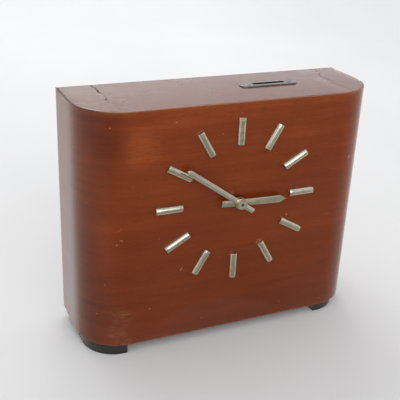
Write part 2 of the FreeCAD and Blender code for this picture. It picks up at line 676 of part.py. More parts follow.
X0, Z0 = D["hub_x"], D["hub_z"]
hh = blade(D["hour_angle"], D["hour_len"], D["hour_wid"], D["hour_tail"], D["hour_wid"] - 1.0, D["hour_arrow"], face - 5.2, face - 5.6, face - 6.2)
hh = hh.fuse(rod(X0, Z0, face - 6.4, face - 4.0, 4.7)).cut(rod(X0, Z0, face - 12, face - 2, 2.4))
node(feature("hour_hand_solid", hh.removeSplitter()), "hour_hand")
mh = blade(D["minute_angle"], D["minute_len"], D["minute_wid"], D["minute_tail"], 4.1, D["minute_arrow"], face - 7.3, face - 7.7, face - 8.4)
mh = mh.fuse(rod(X0, Z0, face - 8.4, face - 7.3, 4.6)).cut(rod(X0, Z0, face - 15, face - 5, 2.6))
node(feature("minute_hand_solid", mh.removeSplitter()), "minute_hand")
node(
    cut("collet_cut", fuse("collet_raw", [
        cyl("collet_front", "hub_x", "hub_z", "-case_d/2 - 10.6", "-case_d/2 - 8.45", "4.0"),
        cyl("collet_core", "hub_x", "hub_z", "-case_d/2 - 10.6", "-case_d/2 - 6.8", "2.6"),
        cyl("collet_rear", "hub_x", "hub_z", "-case_d/2 - 7.25", "-case_d/2 - 6.8", "3.6"),
    ]), [cyl("collet_bore", "hub_x", "hub_z", "-case_d/2 - 13", "-case_d/2 - 6", "1")]),
    "minute_hand_collet",
)
node(
    cut("bush_cut", fuse("bush_raw", [
        cyl("bush_lip", "hub_x", "hub_z", "-case_d/2 - 0.4", "-case_d/2", "4.6"),
        cyl("bush_tube", "hub_x", "hub_z", "-case_d/2 - 0.3", "-case_d/2 + 9", "3.9"),
    ]), [cyl("bush_bore", "hub_x", "hub_z", "-case_d", "0", "3")]),
    "dial_bush",
)

# ======================================================= frame of the movement
ARBORS = ["third", "fourth", "escape", "lever", "balance"]
PILLARS = [(px, pz) for px in ("pillar_xa", "pillar_xb") for pz in ("pillar_za", "pillar_zb")]
EARS = [(ex, ez) for ex in ("ear_xa", "ear_xb") for ez in ("ear_za", "ear_zb")]
solids = [box("fp_box", "mv_x0", "mv_x1", "fp_y0", "fp_y1", "mv_z0", "mv_z1")]
holes = [
    cyl("fp_hub", "hub_x", "hub_z", "fp_y0 - 1", "fp_y1 + 1", "1.05"),
    cyl("fp_barrel", "barrel_x", "barrel_z", "fp_y0 - 1", "fp_y1 + 1", "1.55"),
]
for a in ARBORS:
    pivot = "0.55" if a in ("third", "fourth", "escape") else "0.45"
    holes.append(cyl("fp_" + a, a + "_x", a + "_z", "fp_y0 - 1", "fp_y1 + 1", pivot))
for i, (px, pz) in enumerate(PILLARS):
    holes.append(cyl("fp_pillar%d" % i, px, pz, "fp_y0 - 1", "fp_y1 + 1", "1.5"))
for i, (ex, ez) in enumerate(EARS):
    za, zb = (("%s - 4" % ez, "mv_z0 + 1") if ez == "ear_za" else ("mv_z1 - 1", "%s + 4" % ez))
    solids.append(box("fp_ear%d" % i, "%s - 4" % ex, "%s + 4" % ex, "fp_y0", "fp_y1", za, zb))
    solids.append(cyl("fp_boss%d" % i, ex, ez, inner_y, "fp_y0", "3.5"))
    holes.append(cyl("fp_earhole%d" % i, ex, ez, inner_y + " - 1", "fp_y1 + 1", "1.3"))
solids.append(cyl("fp_post", "minw_x", "minw_z", "fp_y0 - 5.5", "fp_y1", "1"))
node(cut("front_plate_cut", fuse("front_plate_raw", solids), holes), "movement_front_plate")

holes = [
    cyl("bp_hub", "hub_x", "hub_z", "bp_y0 - 1", "bp_y1 + 1", "1.05"),
    cyl("bp_barrel", "barrel_x", "barrel_z", "bp_y0 - 1", "bp_y1 + 1", "1.95"),
]
for a in ARBORS:
    pivot = "0.55" if a in ("third", "fourth", "escape") else "0.45"
    holes.append(cyl("bp_" + a, a + "_x", a + "_z", "bp_y0 - 1", "bp_y1 + 1", pivot))
for i, (px, pz) in enumerate(PILLARS):
    holes.append(cyl("bp_pillar%d" % i, px, pz, "bp_y0 - 1", "bp_y1 + 1", "1.5"))
solids = [
    box("bp_box", "mv_x0", "mv_x1", "bp_y0", "bp_y1", "mv_z0", "mv_z1"),
    cyl("bp_stud", "balance_x + 6.4", "balance_z", "-5.6", "bp_y0 + 0.5", "0.6"),
    cyl("bp_click_stud", "click_x", "click_z", "bp_y0 + 0.5", "8.2", "1"),
]
node(cut("back_plate_cut", fuse("back_plate_raw", solids), holes), "movement_back_plate")

pl, nuts, ms = [], [], []
for i, (px, pz) in enumerate(PILLARS):
    pl.append(fuse("pl%d" % i, [
        cyl("pl_mid%d" % i, px, pz, "fp_y1", "bp_y0", "2.5"),
        cyl("pl_front%d" % i, px, pz, "fp_y0", "fp_y1 + 0.5", "1.5"),
        cyl("pl_rear%d" % i, px, pz, "bp_y0 - 0.5", "bp_y1 + 3.2", "1.5")]))
    hexa = doc.addObject("Part::Prism", "nut_hex%d" % i)
    hexa.Polygon = 6
    hexa.Placement = Placement(Vector(), Rotation(Vector(1, 0, 0), -90))
    bind(hexa, Circumradius="3.1", Height="2.4")
    bind(hexa, Placement__Base__x=px, Placement__Base__y="bp_y1", Placement__Base__z=pz)
    nuts.append(cut("nut%d" % i, hexa, [cyl("nut_bore%d" % i, px, pz, "bp_y1 - 1", "bp_y1 + 4", "1.5")]))
for i, (ex, ez) in enumerate(EARS):
    ms.append(fuse("ms%d" % i, [
        cyl("ms_head%d" % i, ex, ez, "fp_y1", "fp_y1 + 1.8", "2.7"),
        cyl("ms_shank%d" % i, ex, ez, inner_y + " - 7.5", "fp_y1 + 0.5", "1.2")]))
node(group("pillar_set", pl), "plate_pillars")
node(group("nut_set", nuts), "pillar_nuts")
node(group("movement_screw_set", ms), "movement_screws")

# ============================================================ spring and winding
a_bc = aim("barrel_x", "barrel_z", "hub_x", "hub_z")
wheel = gear("great_wheel", 72, "mod_barrel", "barrel_x", "barrel_z", -3.2, -1.6, a_bc)
drum = cut("drum", cyl("drum_out", "barrel_x", "barrel_z", "-15.4", "-3.0", "17.5"),
           [cyl("drum_in", "barrel_x", "barrel_z", "-16", "-3.2", "16.3")])
node(
    cut("barrel_cut", fuse("barrel_raw", [wheel, drum]),
        [cyl("barrel_bore", "barrel_x", "barrel_z", "-20", "0", "2.25")]),
    "spring_barrel",
)
node(
    cut("cover_cut", cyl("cover_disc", "barrel_x", "barrel_z", "-15.4", "-14.4", "16.3"),
        [cyl("cover_bore", "barrel_x", "barrel_z", "-20", "0", "2.25")]),
    "barrel_cover",
)


def spiral(x, z, r0, r1, turns, thick, y0, y1, start=0.0, per_turn=24):
    n = int(turns * per_turn)
    outer, inner = [], []
    for i in range(n + 1):
        a = start + 2.0 * math.pi * turns * i / n
        r = r0 + (r1 - r0) * i / n
        outer.append(((r + thick / 2) * math.cos(a), (r + thick / 2) * math.sin(a)))
        inner.append(((r - thick / 2) * math.cos(a), (r - thick / 2) * math.sin(a)))
    return prism(outer + inner[::-1], x, z, y0, y1)


node(
    feature("mainspring_strip", spiral(D["barrel_x"], D["barrel_z"], 4.2, 15.4, 8.0, 0.45, -13.9, -3.8)),
    "mainspring",
)
node(
    fuse("barrel_arbor_raw", [
        cyl("ba_mid", "barrel_x", "barrel_z", "-17.6", "3.6", "2.2"),
        cyl("ba_front", "barrel_x", "barrel_z", "fp_y0", "-17.5", "1.5"),
        cyl("ba_rear", "barrel_x", "barrel_z", "3.5", "39", "1.9"),
    ]),
    "barrel_arbor",
)
a_click = aim("barrel_x", "barrel_z", "click_x", "click_z")
a_tip = a_click + math.radians(35.0)
teeth = []
for k in range(18):
    a = a_tip + 2.0 * math.pi * k / 18
    teeth.append((6.3 * math.cos(a), 6.3 * math.sin(a)))
    teeth.append((7.5 * math.cos(a + 0.02), 7.5 * math.sin(a + 0.02)))
rw = prism(teeth, D["barrel_x"], D["barrel_z"], 6.0, 7.4).cut(rod(D["barrel_x"], D["barrel_z"], 0, 10, 1.9))
node(feature("ratchet_solid", rw), "ratchet_wheel")

KX, KZ, BX, BZ = D["click_x"], D["click_z"], D["barrel_x"], D["barrel_z"]
qx, qz = BX + 7.85 * math.cos(a_tip), BZ + 7.85 * math.sin(a_tip)
ux, uz = qx - KX, qz - KZ
ul = math.hypot(ux, uz)
ux, uz = ux / ul, uz / ul
nx, nz = -uz, ux
arm = [
    (KX + nx * 1.3, KZ + nz * 1.3), (KX - nx * 1.3, KZ - nz * 1.3), (qx, qz),
]
cl = Part.Face(Part.makePolygon([Vector(p[0], 6.0, p[1]) for p in arm + arm[:1]])).extrude(Vector(0, 1.4, 0))
cl = cl.fuse(rod(KX, KZ, 6.0, 7.4, 2.2)).cut(rod(KX, KZ, 5, 9, 1.04))
node(feature("click_solid", cl.removeSplitter()), "winding_click")
# flat spring that holds the click towards the ratchet, riveted to the plate
node(
    fuse("click_spring_raw", [
        box("csp_strip", "click_x + 2.6", "click_x + 2.9", "6.1", "7.3", "click_z - 11", "click_z + 3"),
        box("csp_foot", "click_x + 2.6", "click_x + 6.5", "bp_y1", "7.3", "click_z - 13", "click_z - 9.5"),
    ]),
    "click_spring",
)
key = fuse("key_raw", [
    cyl("key_shank", "barrel_x", "barrel_z", "34.6", "41.4", "3.8"),
    box("key_web", "barrel_x - 9", "barrel_x + 9", "36.5", "44", "barrel_z - 1.1", "barrel_z + 1.1"),
    cylz("key_ear_l", "barrel_x - 7.6", "42.6", "barrel_z - 1.1", "barrel_z + 1.1", "5.5"),
    cylz("key_ear_r", "barrel_x + 7.6", "42.6", "barrel_z - 1.1", "barrel_z + 1.1", "5.5"),
])
node(
    cut("key_cut", key, [
        cyl("key_bore", "barrel_x", "barrel_z", "34", "39", "1.9"),
        cylz("key_eye_l", "barrel_x - 8.2", "43.1", "barrel_z - 3", "barrel_z + 3", "2.0"),
        cylz("key_eye_r", "barrel_x + 8.2", "43.1", "barrel_z - 3", "barrel_z + 3", "2.0"),
    ]),
    "winding_key",
)

# =================================================================== the train
a_ct = aim("hub_x", "hub_z", "third_x", "third_z")
a_tf = aim("third_x", "third_z", "fourth_x", "fourth_z")
a_fe = aim("fourth_x", "fourth_z", "escape_x", "escape_z")
PI = math.pi
node(
    cut("centre_cut", fuse("centre_raw", [
        gear("centre_pinion", 9, "mod_barrel", "hub_x", "hub_z", -4.4, 0.4, a_bc + PI + PI / 9),
        gear("centre_gear", 64, "mod_centre", "hub_x", "hub_z", -17.2, -16.2, a_ct, 6, 7.6, 2.6),
        cyl("centre_tube", "hub_x", "hub_z", "-17.7", "3.7", "1.8"),
    ]), [cyl("centre_bore", "hub_x", "hub_z", "-20", "6", "1.04")]),
    "centre_wheel",
)


def arbor(tag, pivot, main):
    return [
        cyl(tag + "_rod", tag + "_x", tag + "_z", "-17.8", "3.8", main),
        cyl(tag + "_pf", tag + "_x", tag + "_z", "fp_y0", "-17.7", pivot),
        cyl(tag + "_pr", tag + "_x", tag + "_z", "3.7", "bp_y1", pivot),
    ]


node(
    fuse("third_raw", [
        gear("third_pinion", 8, "mod_centre", "third_x", "third_z", -17.6, -15.4, a_ct + PI + PI / 8),
        gear("third_gear", 60, "mod_third", "third_x", "third_z", 1.2, 2.2, a_tf, 6, 6.8, 2.2),
    ] + arbor("third", "0.5", "0.9")),
    "third_wheel",
)
node(
    fuse("fourth_raw", [
        gear("fourth_pinion", 8, "mod_third", "fourth_x", "fourth_z", 0.6, 2.8, a_tf + PI + PI / 8),
        gear("fourth_gear", 60, "mod_fourth", "fourth_x", "fourth_z", -9.0, -8.3, a_fe, 6, 6.2, 2.2),
    ] + arbor("fourth", "0.5", "0.8")),
    "fourth_wheel",
)
ew = []
for k in range(15):
    a = 2 * PI * k / 15
    ew += [(4.6 * math.cos(a - 0.09), 4.6 * math.sin(a - 0.09)), (6.0 * math.cos(a + 0.10), 6.0 * math.sin(a + 0.10)),
           (6.0 * math.cos(a + 0.15), 6.0 * math.sin(a + 0.15)), (4.6 * math.cos(a + 0.12), 4.6 * math.sin(a + 0.12))]
esc = prism(ew, D["escape_x"], D["escape_z"], -13.3, -12.7)
for k in range(5):
    a = 2 * PI * k / 5
    esc = esc.cut(rod(D["escape_x"] + 2.7 * math.cos(a), D["escape_z"] + 2.7 * math.sin(a), -14, -12, 1.1))
node(
    fuse("escape_raw", [
        gear("escape_pinion", 8, "mod_fourth", "escape_x", "escape_z", -9.8, -7.5, a_fe + PI + PI / 8),
        feature("escape_disc", esc),
    ] + arbor("escape", "0.5", "0.7")),
    "escape_wheel",
)

# lever: two pallets over the escape wheel and a fork towards the balance
LX, LZ, EX, EZ = D["lever_x"], D["lever_z"], D["escape_x"], D["escape_z"]
WX, WZ = D["balance_x"], D["balance_z"]
a_el = math.atan2(LZ - EZ, LX - EX)


def bar(p, q, w, y0, y1):
    dx, dz = q[0] - p[0], q[1] - p[1]
    n = math.hypot(dx, dz)
    dx, dz = dx / n, dz / n
    c = [(p[0] - dz * w / 2, p[1] + dx * w / 2), (p[0] + dz * w / 2, p[1] - dx * w / 2),
         (q[0] + dz * w / 2, q[1] - dx * w / 2), (q[0] - dz * w / 2, q[1] + dx * w / 2)]
    return Part.Face(Part.makePolygon([Vector(a, y0, b) for a, b in c + c[:1]])).extrude(Vector(0, y1 - y0, 0))


lev = rod(LX, LZ, -13.3, -12.7, 1.5)
for s in (-1, 1):
    tip = (EX + 7.3 * math.cos(a_el + s * 0.65), EZ + 7.3 * math.sin(a_el + s * 0.65))
    lev = lev.fuse(bar((LX, LZ), tip, 1.0, -13.3, -12.7))
a_lb = math.atan2(WZ - LZ, WX - LX)
fork = (LX + 7.6 * math.cos(a_lb), LZ + 7.6 * math.sin(a_lb))
lev = lev.fuse(bar((LX, LZ), fork, 1.0, -13.3, -12.7))
for s in (-1, 1):
    f0 = (fork[0] - s * 0.6 * math.sin(a_lb), fork[1] + s * 0.6 * math.cos(a_lb))
    f1 = (f0[0] + 0.9 * math.cos(a_lb), f0[1] + 0.9 * math.sin(a_lb))
    lev = lev.fuse(bar((f0[0] - 0.8 * math.cos(a_lb), f0[1] - 0.8 * math.sin(a_lb)), f1, 0.5, -13.3, -12.7))
node(
    fuse("lever_raw", [feature("lever_blank", lev.removeSplitter())] + arbor("lever", "0.4", "0.7")),
    "pallet_lever",
)

bal = rod(WX, WZ, -9.2, -7.8, 8.0).cut(rod(WX, WZ, -10, -7, 6.7))
bal = bal.fuse(bar((WX - 7.0, WZ), (WX + 7.0, WZ), 1.2, -9.0, -8.0)).fuse(bar((WX, WZ - 7.0), (WX, WZ + 7.0), 1.2, -9.0, -8.0))
bal = bal.fuse(rod(WX, WZ, -12.3, -11.6, 2.0))
bal = bal.fuse(rod(WX - 1.5 * math.cos(a_lb), WZ - 1.5 * math.sin(a_lb), -12.5, -12.2, 0.3))
node(
    fuse("balance_raw", [feature("balance_rim", bal.removeSplitter())] + arbor("balance", "0.4", "0.7")),
    "balance_wheel",
)
hs = spiral(WX, WZ, 1.1, 5.6, 9.0, 0.14, -5.4, -4.6, 0.0, 20)
hs = hs.fuse(rod(WX, WZ, -5.5, -4.5, 1.15)).cut(rod(WX, WZ, -7, -3, 0.7))
node(feature("hairspring_strip", hs), "hairspring")

# ================================================================ motion work
a_cm = aim("hub_x", "hub_z", "minw_x", "minw_z")
node(
    fuse("hand_arbor_raw", [
        cyl("ha_rod", "hub_x", "hub_z", "-case_d/2 - 8", "43", "1"),
        gear("cannon", 12, "mod_minute", "hub_x", "hub_z", -22.0, -20.0, a_cm),
    ]),
    "hand_arbor",
)
node(
    cut("minute_wheel_cut", fuse("minute_wheel_raw", [
        gear("minute_gear", 36, "mod_minute", "minw_x", "minw_z", -21.4, -20.4, a_cm + PI + PI / 36),
        gear("minute_pinion", 10, "mod_hour", "minw_x", "minw_z", -24.2, -21.3, a_cm + PI),
    ]), [cyl("minute_wheel_bore", "minw_x", "minw_z", "-30", "-15", "1.04")]),
    "minute_wheel",
)
node(
    cut("hour_wheel_cut", fuse("hour_wheel_raw", [
        gear("hour_gear", 40, "mod_hour", "hub_x", "hub_z", -23.8, -22.8, a_cm + PI / 40),
        cyl("hour_pipe", "hub_x", "hub_z", "-case_d/2 - 6.3", "-22.6", "2.4"),
    ]), [cyl("hour_pipe_bore", "hub_x", "hub_z", "-60", "-15", "1.06")]),
    "hour_wheel",
)
node(
    cut("knob_cut", fuse("knob_raw", [
        cyl("knob_grip", "hub_x", "hub_z", "36.5", "43.6", "5.6"),
        cyl("knob_neck", "hub_x", "hub_z", "34.4", "37", "3.0"),
    ]), [cyl("knob_bore", "hub_x", "hub_z", "30", "43", "1")]
        + [cyl("knob_flute%d" % k,
               "hub_x + 5.9*cos(%d)" % (30 * k), "hub_z + 5.9*sin(%d)" % (30 * k), "36", "45", "0.6")
           for k in range(12)]),
    "set_knob",
)

# ================================================================ check, write
doc.recompute()
bad = [o.Name for o in doc.Objects if "Invalid" in o.State or "Error" in o.State]
for o in PARTS:
    if o.Shape.isNull() or not o.Shape.isValid() or not o.Shape.Solids:
        bad.append(o.Label)
if bad:
    raise RuntimeError("unsound objects: %s" % ", ".join(bad))
os.makedirs("parts", exist_ok=True)
for o in PARTS:
    o.Shape.exportStep("parts/%s.step" % o.Label)
whole = Part.makeCompound([o.Shape for o in PARTS]).BoundBox
print(len(PARTS), "nodes", [round(v, 3) for v in (whole.XMin, whole.XMax, whole.YMin, whole.YMax, whole.ZMin, whole.ZMax)])
for o in PARTS:
    print("%-22s solids %2d volume %10.1f" % (o.Label, len(o.Shape.Solids), o.Shape.Volume))
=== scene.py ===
import math

import bpy
import numpy as np
from mathutils import Matrix, Vector


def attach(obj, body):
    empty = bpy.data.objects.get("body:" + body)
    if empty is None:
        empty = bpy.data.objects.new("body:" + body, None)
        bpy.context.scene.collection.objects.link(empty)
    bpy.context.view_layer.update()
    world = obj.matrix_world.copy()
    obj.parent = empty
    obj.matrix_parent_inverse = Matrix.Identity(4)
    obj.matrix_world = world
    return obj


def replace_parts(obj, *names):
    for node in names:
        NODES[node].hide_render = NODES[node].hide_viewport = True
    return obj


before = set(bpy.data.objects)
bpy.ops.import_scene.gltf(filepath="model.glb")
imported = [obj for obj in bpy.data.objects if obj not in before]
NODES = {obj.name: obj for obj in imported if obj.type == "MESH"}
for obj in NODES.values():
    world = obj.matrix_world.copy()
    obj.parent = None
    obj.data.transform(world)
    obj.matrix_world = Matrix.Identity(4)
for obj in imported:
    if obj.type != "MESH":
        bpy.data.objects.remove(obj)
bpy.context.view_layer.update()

# Looks of the table clock: bent mahogany veneer over a wooden core, a cracked
# top, half-round batons and bevelled hands, all in the frame of the model.
# Lengths below are millimetres unless a name says otherwise.
MM = 0.001
rng = np.random.default_rng(11)

CASE_X, FRONT_Y, BACK_Y = 125.0, -37.5, 37.5
Z0, Z1 = 8.0, 204.5
CORNER_R, CORNER_Y = 35.0, -2.5
SKIN = 0.8
HUB_X, HUB_Z = -1.2, 123.95

# The bend runs out softly into the side: its last degrees take a longer way.
EASE, EASE_L = math.radians(12.0), 22.0
ease_s = np.linspace(0.0, EASE_L, 89)
ease_a = EASE * (1 - ease_s / EASE_L) ** 3
ease_x = np.concatenate([[0.0], np.cumsum(np.sin((ease_a[1:] + ease_a[:-1]) / 2) * np.diff(ease_s))])
ease_y = np.concatenate([[0.0], np.cumsum(np.cos((ease_a[1:] + ease_a[:-1]) / 2) * np.diff(ease_s))])
TURN = math.pi / 2 - EASE
CORNER_X = CASE_X - ease_x[-1] - CORNER_R * math.sin(TURN)
EASE_Y0 = CORNER_Y - CORNER_R * math.cos(TURN)
ARC = CORNER_R * TURN
SIDE = BACK_Y - EASE_Y0 - ease_y[-1]
HALF = CORNER_X + ARC + EASE_L + SIDE


# ------------------------------------------------------------------ mesh tools
def build(name, verts, faces, sharp=32.0):
    me = bpy.data.meshes.new(name)
    me.from_pydata([tuple(v) for v in np.asarray(verts, float) * MM], [], faces)
    me.validate()
    me.update()
    me.polygons.foreach_set("use_smooth", [True] * len(me.polygons))
    me.set_sharp_from_angle(angle=math.radians(sharp))
    ob = bpy.data.objects.new(name, me)
    bpy.context.scene.collection.objects.link(ob)
    return ob


def store_vec(ob, name, values):
    a = ob.data.attributes.new(name, "FLOAT_VECTOR", "POINT")
    a.data.foreach_set("vector", np.asarray(values, np.float32).reshape(-1))


def store_val(ob, name, values):
    a = ob.data.attributes.new(name, "FLOAT", "POINT")
    a.data.foreach_set("value", np.asarray(values, np.float32).reshape(-1))


def ripple(x, step, seed):
    """Smooth repeatable noise of one variable, 0..1."""
    table = np.random.default_rng(seed).random(4096)
    q = np.asarray(x, float) / step + 1000.0
    i = np.floor(q).astype(int)
    f = q - i
    f = f * f * (3 - 2 * f)
    return table[i % 4096] * (1 - f) + table[(i + 1) % 4096] * f


def smooth01(x, a, b):
    q = np.clip((np.asarray(x, float) - a) / (b - a), 0, 1)
    return q * q * (3 - 2 * q)


# -------------------------------------------------------------- bent front skin
def skin_at(u):
    a, s = abs(u), (1.0 if u >= 0 else -1.0)
    if a <= CORNER_X:
        return u, FRONT_Y, 0.0, -1.0
    if a <= CORNER_X + ARC:
        th = (a - CORNER_X) / CORNER_R
        return (s * (CORNER_X + CORNER_R * math.sin(th)), CORNER_Y - CORNER_R * math.cos(th),
                s * math.sin(th), -math.cos(th))
    q = a - CORNER_X - ARC
    if q <= EASE_L:
        short = EASE * (1 - q / EASE_L) ** 3
        return (s * (CASE_X - ease_x[-1] + np.interp(q, ease_s, ease_x)), EASE_Y0 + np.interp(q, ease_s, ease_y),
                s * math.cos(short), -math.sin(short))
    return s * CASE_X, BACK_Y - SIDE + (q - EASE_L), s, 0.0


# chips along the rims: place along the sheet, width, depth
TOP_CHIPS = [(60.5, 2.2, 0.40), (43.0, 2.0, 0.35), (98.0, 7.0, 0.45), (-176.0, 2.2, 0.8), (-150.0, 1.6, 0.5),
             (18.0, 2.0, 0.4), (-30.0, 2.4, 0.35), (140.0, 2.4, 0.6), (176.0, 3.0, 0.8), (-70.0, 1.8, 0.3)]
LOW_CHIPS = [(-168.4, 1.5, 1.5), (-97.0, 3.0, 0.6), (60.0, 2.0, 0.5), (105.0, 3.6, 0.7), (-20.0, 1.6, 0.4),
             (150.0, 2.2, 0.8), (-178.0, 2.4, 0.7)]


def chip_depth(u, chips, seed):
    d = 0.10 * smooth01(ripple(u, 3.1, seed), 0.62, 1.0) + 0.10 * smooth01(ripple(u, 1.2, seed + 1), 0.72, 1.0)
    for c, w, h in chips:
        shape = np.clip(1 - np.abs((u - c) / w + 0.35 * (ripple(u, 0.7, seed + 2) - 0.5)), 0, 1)
        d = d + h * shape ** 0.7
    return d


def make_skin():
    patch = 11.0
    us = list(np.arange(-CORNER_X, CORNER_X + 0.01, 1.0))
    half = [CORNER_X + ARC * k / 54 for k in range(1, 55)]
    half += [CORNER_X + ARC + EASE_L * k / 28 for k in range(1, 29)]
    half += [CORNER_X + ARC + EASE_L + SIDE * k / 28 for k in range(1, 29)]
    us += half + [-u for u in half]
    us = [u for u in us if min(abs(u - HUB_X - patch), abs(u - HUB_X + patch)) > 0.3]
    us = np.array(sorted(us + [HUB_X - patch, HUB_X + patch]))
    zs = [Z0 + q for q in (0.9, 1.4, 2.0, 3.0, 4.5, 7.0)] + list(np.arange(Z0 + 11, Z1 - 9, 6.0))
    zs += [Z1 - q for q in (7.0, 4.5, 3.0, 2.0, 1.4, 0.9)]
    zs = [z for z in zs if min(abs(z - HUB_Z - patch), abs(z - HUB_Z + patch)) > 2.5]
    zs = np.array(sorted(zs + [HUB_Z - patch, HUB_Z + patch]))
    top = chip_depth(us, TOP_CHIPS, 21)
    low = chip_depth(us, LOW_CHIPS, 51)
    rt = 0.26 + 0.22 * ripple(us, 6.0, 31) + 0.35 * np.clip(top, 0, 0.9)
    rb = 0.24 + 0.20 * ripple(us, 5.0, 61) + 0.30 * np.clip(low, 0, 0.9)
    rt, rb = np.minimum(rt, 0.6), np.minimum(rb, 0.6)
    verts, roll, chip = [], [], []
    frames = [skin_at(u) for u in us]
    loop = None
    for i, u in enumerate(us):
        x, y, nx, ny = frames[i]
        zt, zb = Z1 - top[i], Z0 + low[i]
        ring = []
        for k in range(5):                       # lower outer rim, from underneath to the face
            a = math.pi / 2 * k / 4
            ring.append((rb[i] * (1 - math.sin(a)), zb + rb[i] * (1 - math.cos(a)), 1.0))
        for z in zs:                             # outer face
            z2 = z
            wt, wb = smooth01(z, Z1 - 4.0, Z1 - 0.6), smooth01(z, Z0 + 4.0, Z0 + 0.6)
            z2 = z - top[i] * wt + low[i] * wb
            push = 0.30 * top[i] * smooth01(z, Z1 - 2.6, Z1 - 0.8) + 0.30 * low[i] * smooth01(z, Z0 + 2.6, Z0 + 0.8)
            ring.append((min(push, 0.5), z2, max(top[i] * wt, low[i] * wb)))
        for k in range(5):                       # upper outer rim, from the face to the top
            a = math.pi / 2 * k / 4
            ring.append((rt[i] * (1 - math.cos(a)), zt - rt[i] * (1 - math.sin(a)), 1.0))
        n_out = len(ring)
        for t, z, c in reversed(ring):           # inner face
            ring.append((SKIN, z if Z0 + 1.5 < z < Z1 - 1.5 else (zt if z > 100 else zb), c))
        loop = len(ring)
        for t, z, c in ring:
            verts.append((x - nx * t, y - ny * t, z))
            roll.append((u * MM, t * MM, z * MM))
            chip.append(c if c < 1.0 else 0.35 + (top[i] if z > 100 else low[i]))
    faces = []
    r0 = 5 + int(np.argmin(np.abs(zs - (HUB_Z - patch))))
    r1 = 5 + int(np.argmin(np.abs(zs - (HUB_Z + patch))))
    c0 = int(np.argmin(np.abs(us - (HUB_X - patch))))
    c1 = int(np.argmin(np.abs(us - (HUB_X + patch))))
    for i in range(len(us) - 1):
        for k in range(loop):
            k2 = (k + 1) % loop
            out_hole = c0 <= i < c1 and r0 <= k < r1
            in_hole = c0 <= i < c1 and loop - 1 - r1 <= k < loop - 1 - r0
            if out_hole or in_hole:
                continue
            a, b, c, d = i * loop + k, (i + 1) * loop + k, (i + 1) * loop + k2, i * loop + k2
            faces.append((a, b, c, d))
    faces.append(tuple(range(loop)))
    faces.append(tuple(reversed([(len(us) - 1) * loop + k for k in range(loop)])))
    # round hole behind the bush, reached by rings from the square patch
    hole_r = 4.2

    def edge_ids(ra, rb_):
        ids = [(c, ra) for c in range(c0, c1)] + [(c1, r) for r in range(ra, rb_)] if rb_ > ra else []
        ids += [(c, rb_) for c in range(c1, c0, -1)] + [(c0, r) for r in range(rb_, ra, -1)]
        return ids

    rims = []
    for depth, inner in ((0.0, False), (SKIN, True)):
        ids = edge_ids(r0, r1)
        prev = [c * loop + (loop - 1 - r if inner else r) for c, r in ids]
        start = [np.array([verts[p][0], verts[p][2]]) for p in prev]
        for step in (0.35, 0.65, 0.88, 1.0):
            cur = []
            for p in start:
                dirn = p - np.array([HUB_X, HUB_Z])
                goal = np.array([HUB_X, HUB_Z]) + dirn / np.linalg.norm(dirn) * hole_r
                q = p * (1 - step) + goal * step
                verts.append((q[0], FRONT_Y + depth, q[1]))
                roll.append((q[0] * MM, depth * MM, q[1] * MM))
                chip.append(0.0)
                cur.append(len(verts) - 1)
            n = len(cur)
            for k in range(n):
                k2 = (k + 1) % n
                quad = (prev[k], prev[k2], cur[k2], cur[k])
                faces.append(tuple(reversed(quad)) if inner else quad)
            prev = cur
        rims.append(prev)
    n = len(rims[0])
    for k in range(n):
        k2 = (k + 1) % n
        faces.append((rims[0][k], rims[0][k2], rims[1][k2], rims[1][k]))
    ob = build("case_veneer", verts, faces, 40.0)
    store_vec(ob, "unroll", roll)
    store_val(ob, "chip", chip)
    return ob


# --------------------------------------------------- top board and end blocks
def layered(name, layers, skip=(), sharp=35.0):
    """Closed solid from grids of points of one shape: the first is the top
    face, the last the underside, with walls between them along every border."""
    rows, cols = layers[0].shape[:2]
    verts = np.concatenate([g.reshape(-1, 3) for g in layers])

    def vid(layer, r, c):
        return layer * rows * cols + r * cols + c

    cells = {(r, c) for r in range(rows - 1) for c in range(cols - 1)} - set(skip)
    faces, last = [], len(layers) - 1
    for r, c in cells:
        faces.append((vid(0, r, c), vid(0, r, c + 1), vid(0, r + 1, c + 1), vid(0, r + 1, c)))
        faces.append((vid(last, r, c), vid(last, r + 1, c), vid(last, r + 1, c + 1), vid(last, r, c + 1)))
        for near, p, q in (
            ((r - 1, c), (r, c + 1), (r, c)), ((r + 1, c), (r + 1, c), (r + 1, c + 1)),
            ((r, c - 1), (r, c), (r + 1, c)), ((r, c + 1), (r + 1, c + 1), (r, c + 1)),
        ):
            if near not in cells:
                for k in range(last):
                    faces.append((vid(k, *p), vid(k, *q), vid(k + 1, *q), vid(k + 1, *p)))
    ob = build(name, verts, faces, sharp)
    return ob


CRACK_L = [(45, -96.6), (36, -96.4), (33.5, -98.2), (30, -97.1), (26.5, -96.3), (25.6, -97.9), (23.2, -97.2),
           (19.5, -96.1), (18.6, -97.6), (14.7, -97.1), (11, -95.4), (7.7, -94.9), (4, -96.2), (-1.5, -96.9),
           (-5, -98.1), (-8, -97.3), (-16, -97.0), (-40, -97.0)]
CRACK_R = [(45, 99.0), (36.5, 100.6), (33, 103.0), (30.3, 103.9), (26.8, 103.2), (24, 104.0), (21.5, 101.8),
           (19, 100.6), (16.2, 98.9), (13.5, 98.6), (8.3, 96.9), (3, 96.9), (-2.5, 96.1), (-7, 95.8), (-11, 94.7),
           (-16.3, 95.6), (-20.5, 97.1), (-26, 97.0), (-40, 97.0)]


def crack(side, y):
    path = CRACK_L if side < 0 else CRACK_R
    ys, xs = np.array(path)[::-1].T
    x = np.interp(y, ys, xs)
    fade = smooth01(y, -30, -20) if side > 0 else smooth01(y, -16, -4)
    return x + fade * (0.7 * (ripple(y, 1.1, 71 + side) - 0.5) + 0.5 * (ripple(y, 0.5, 81 + side) - 0.5))


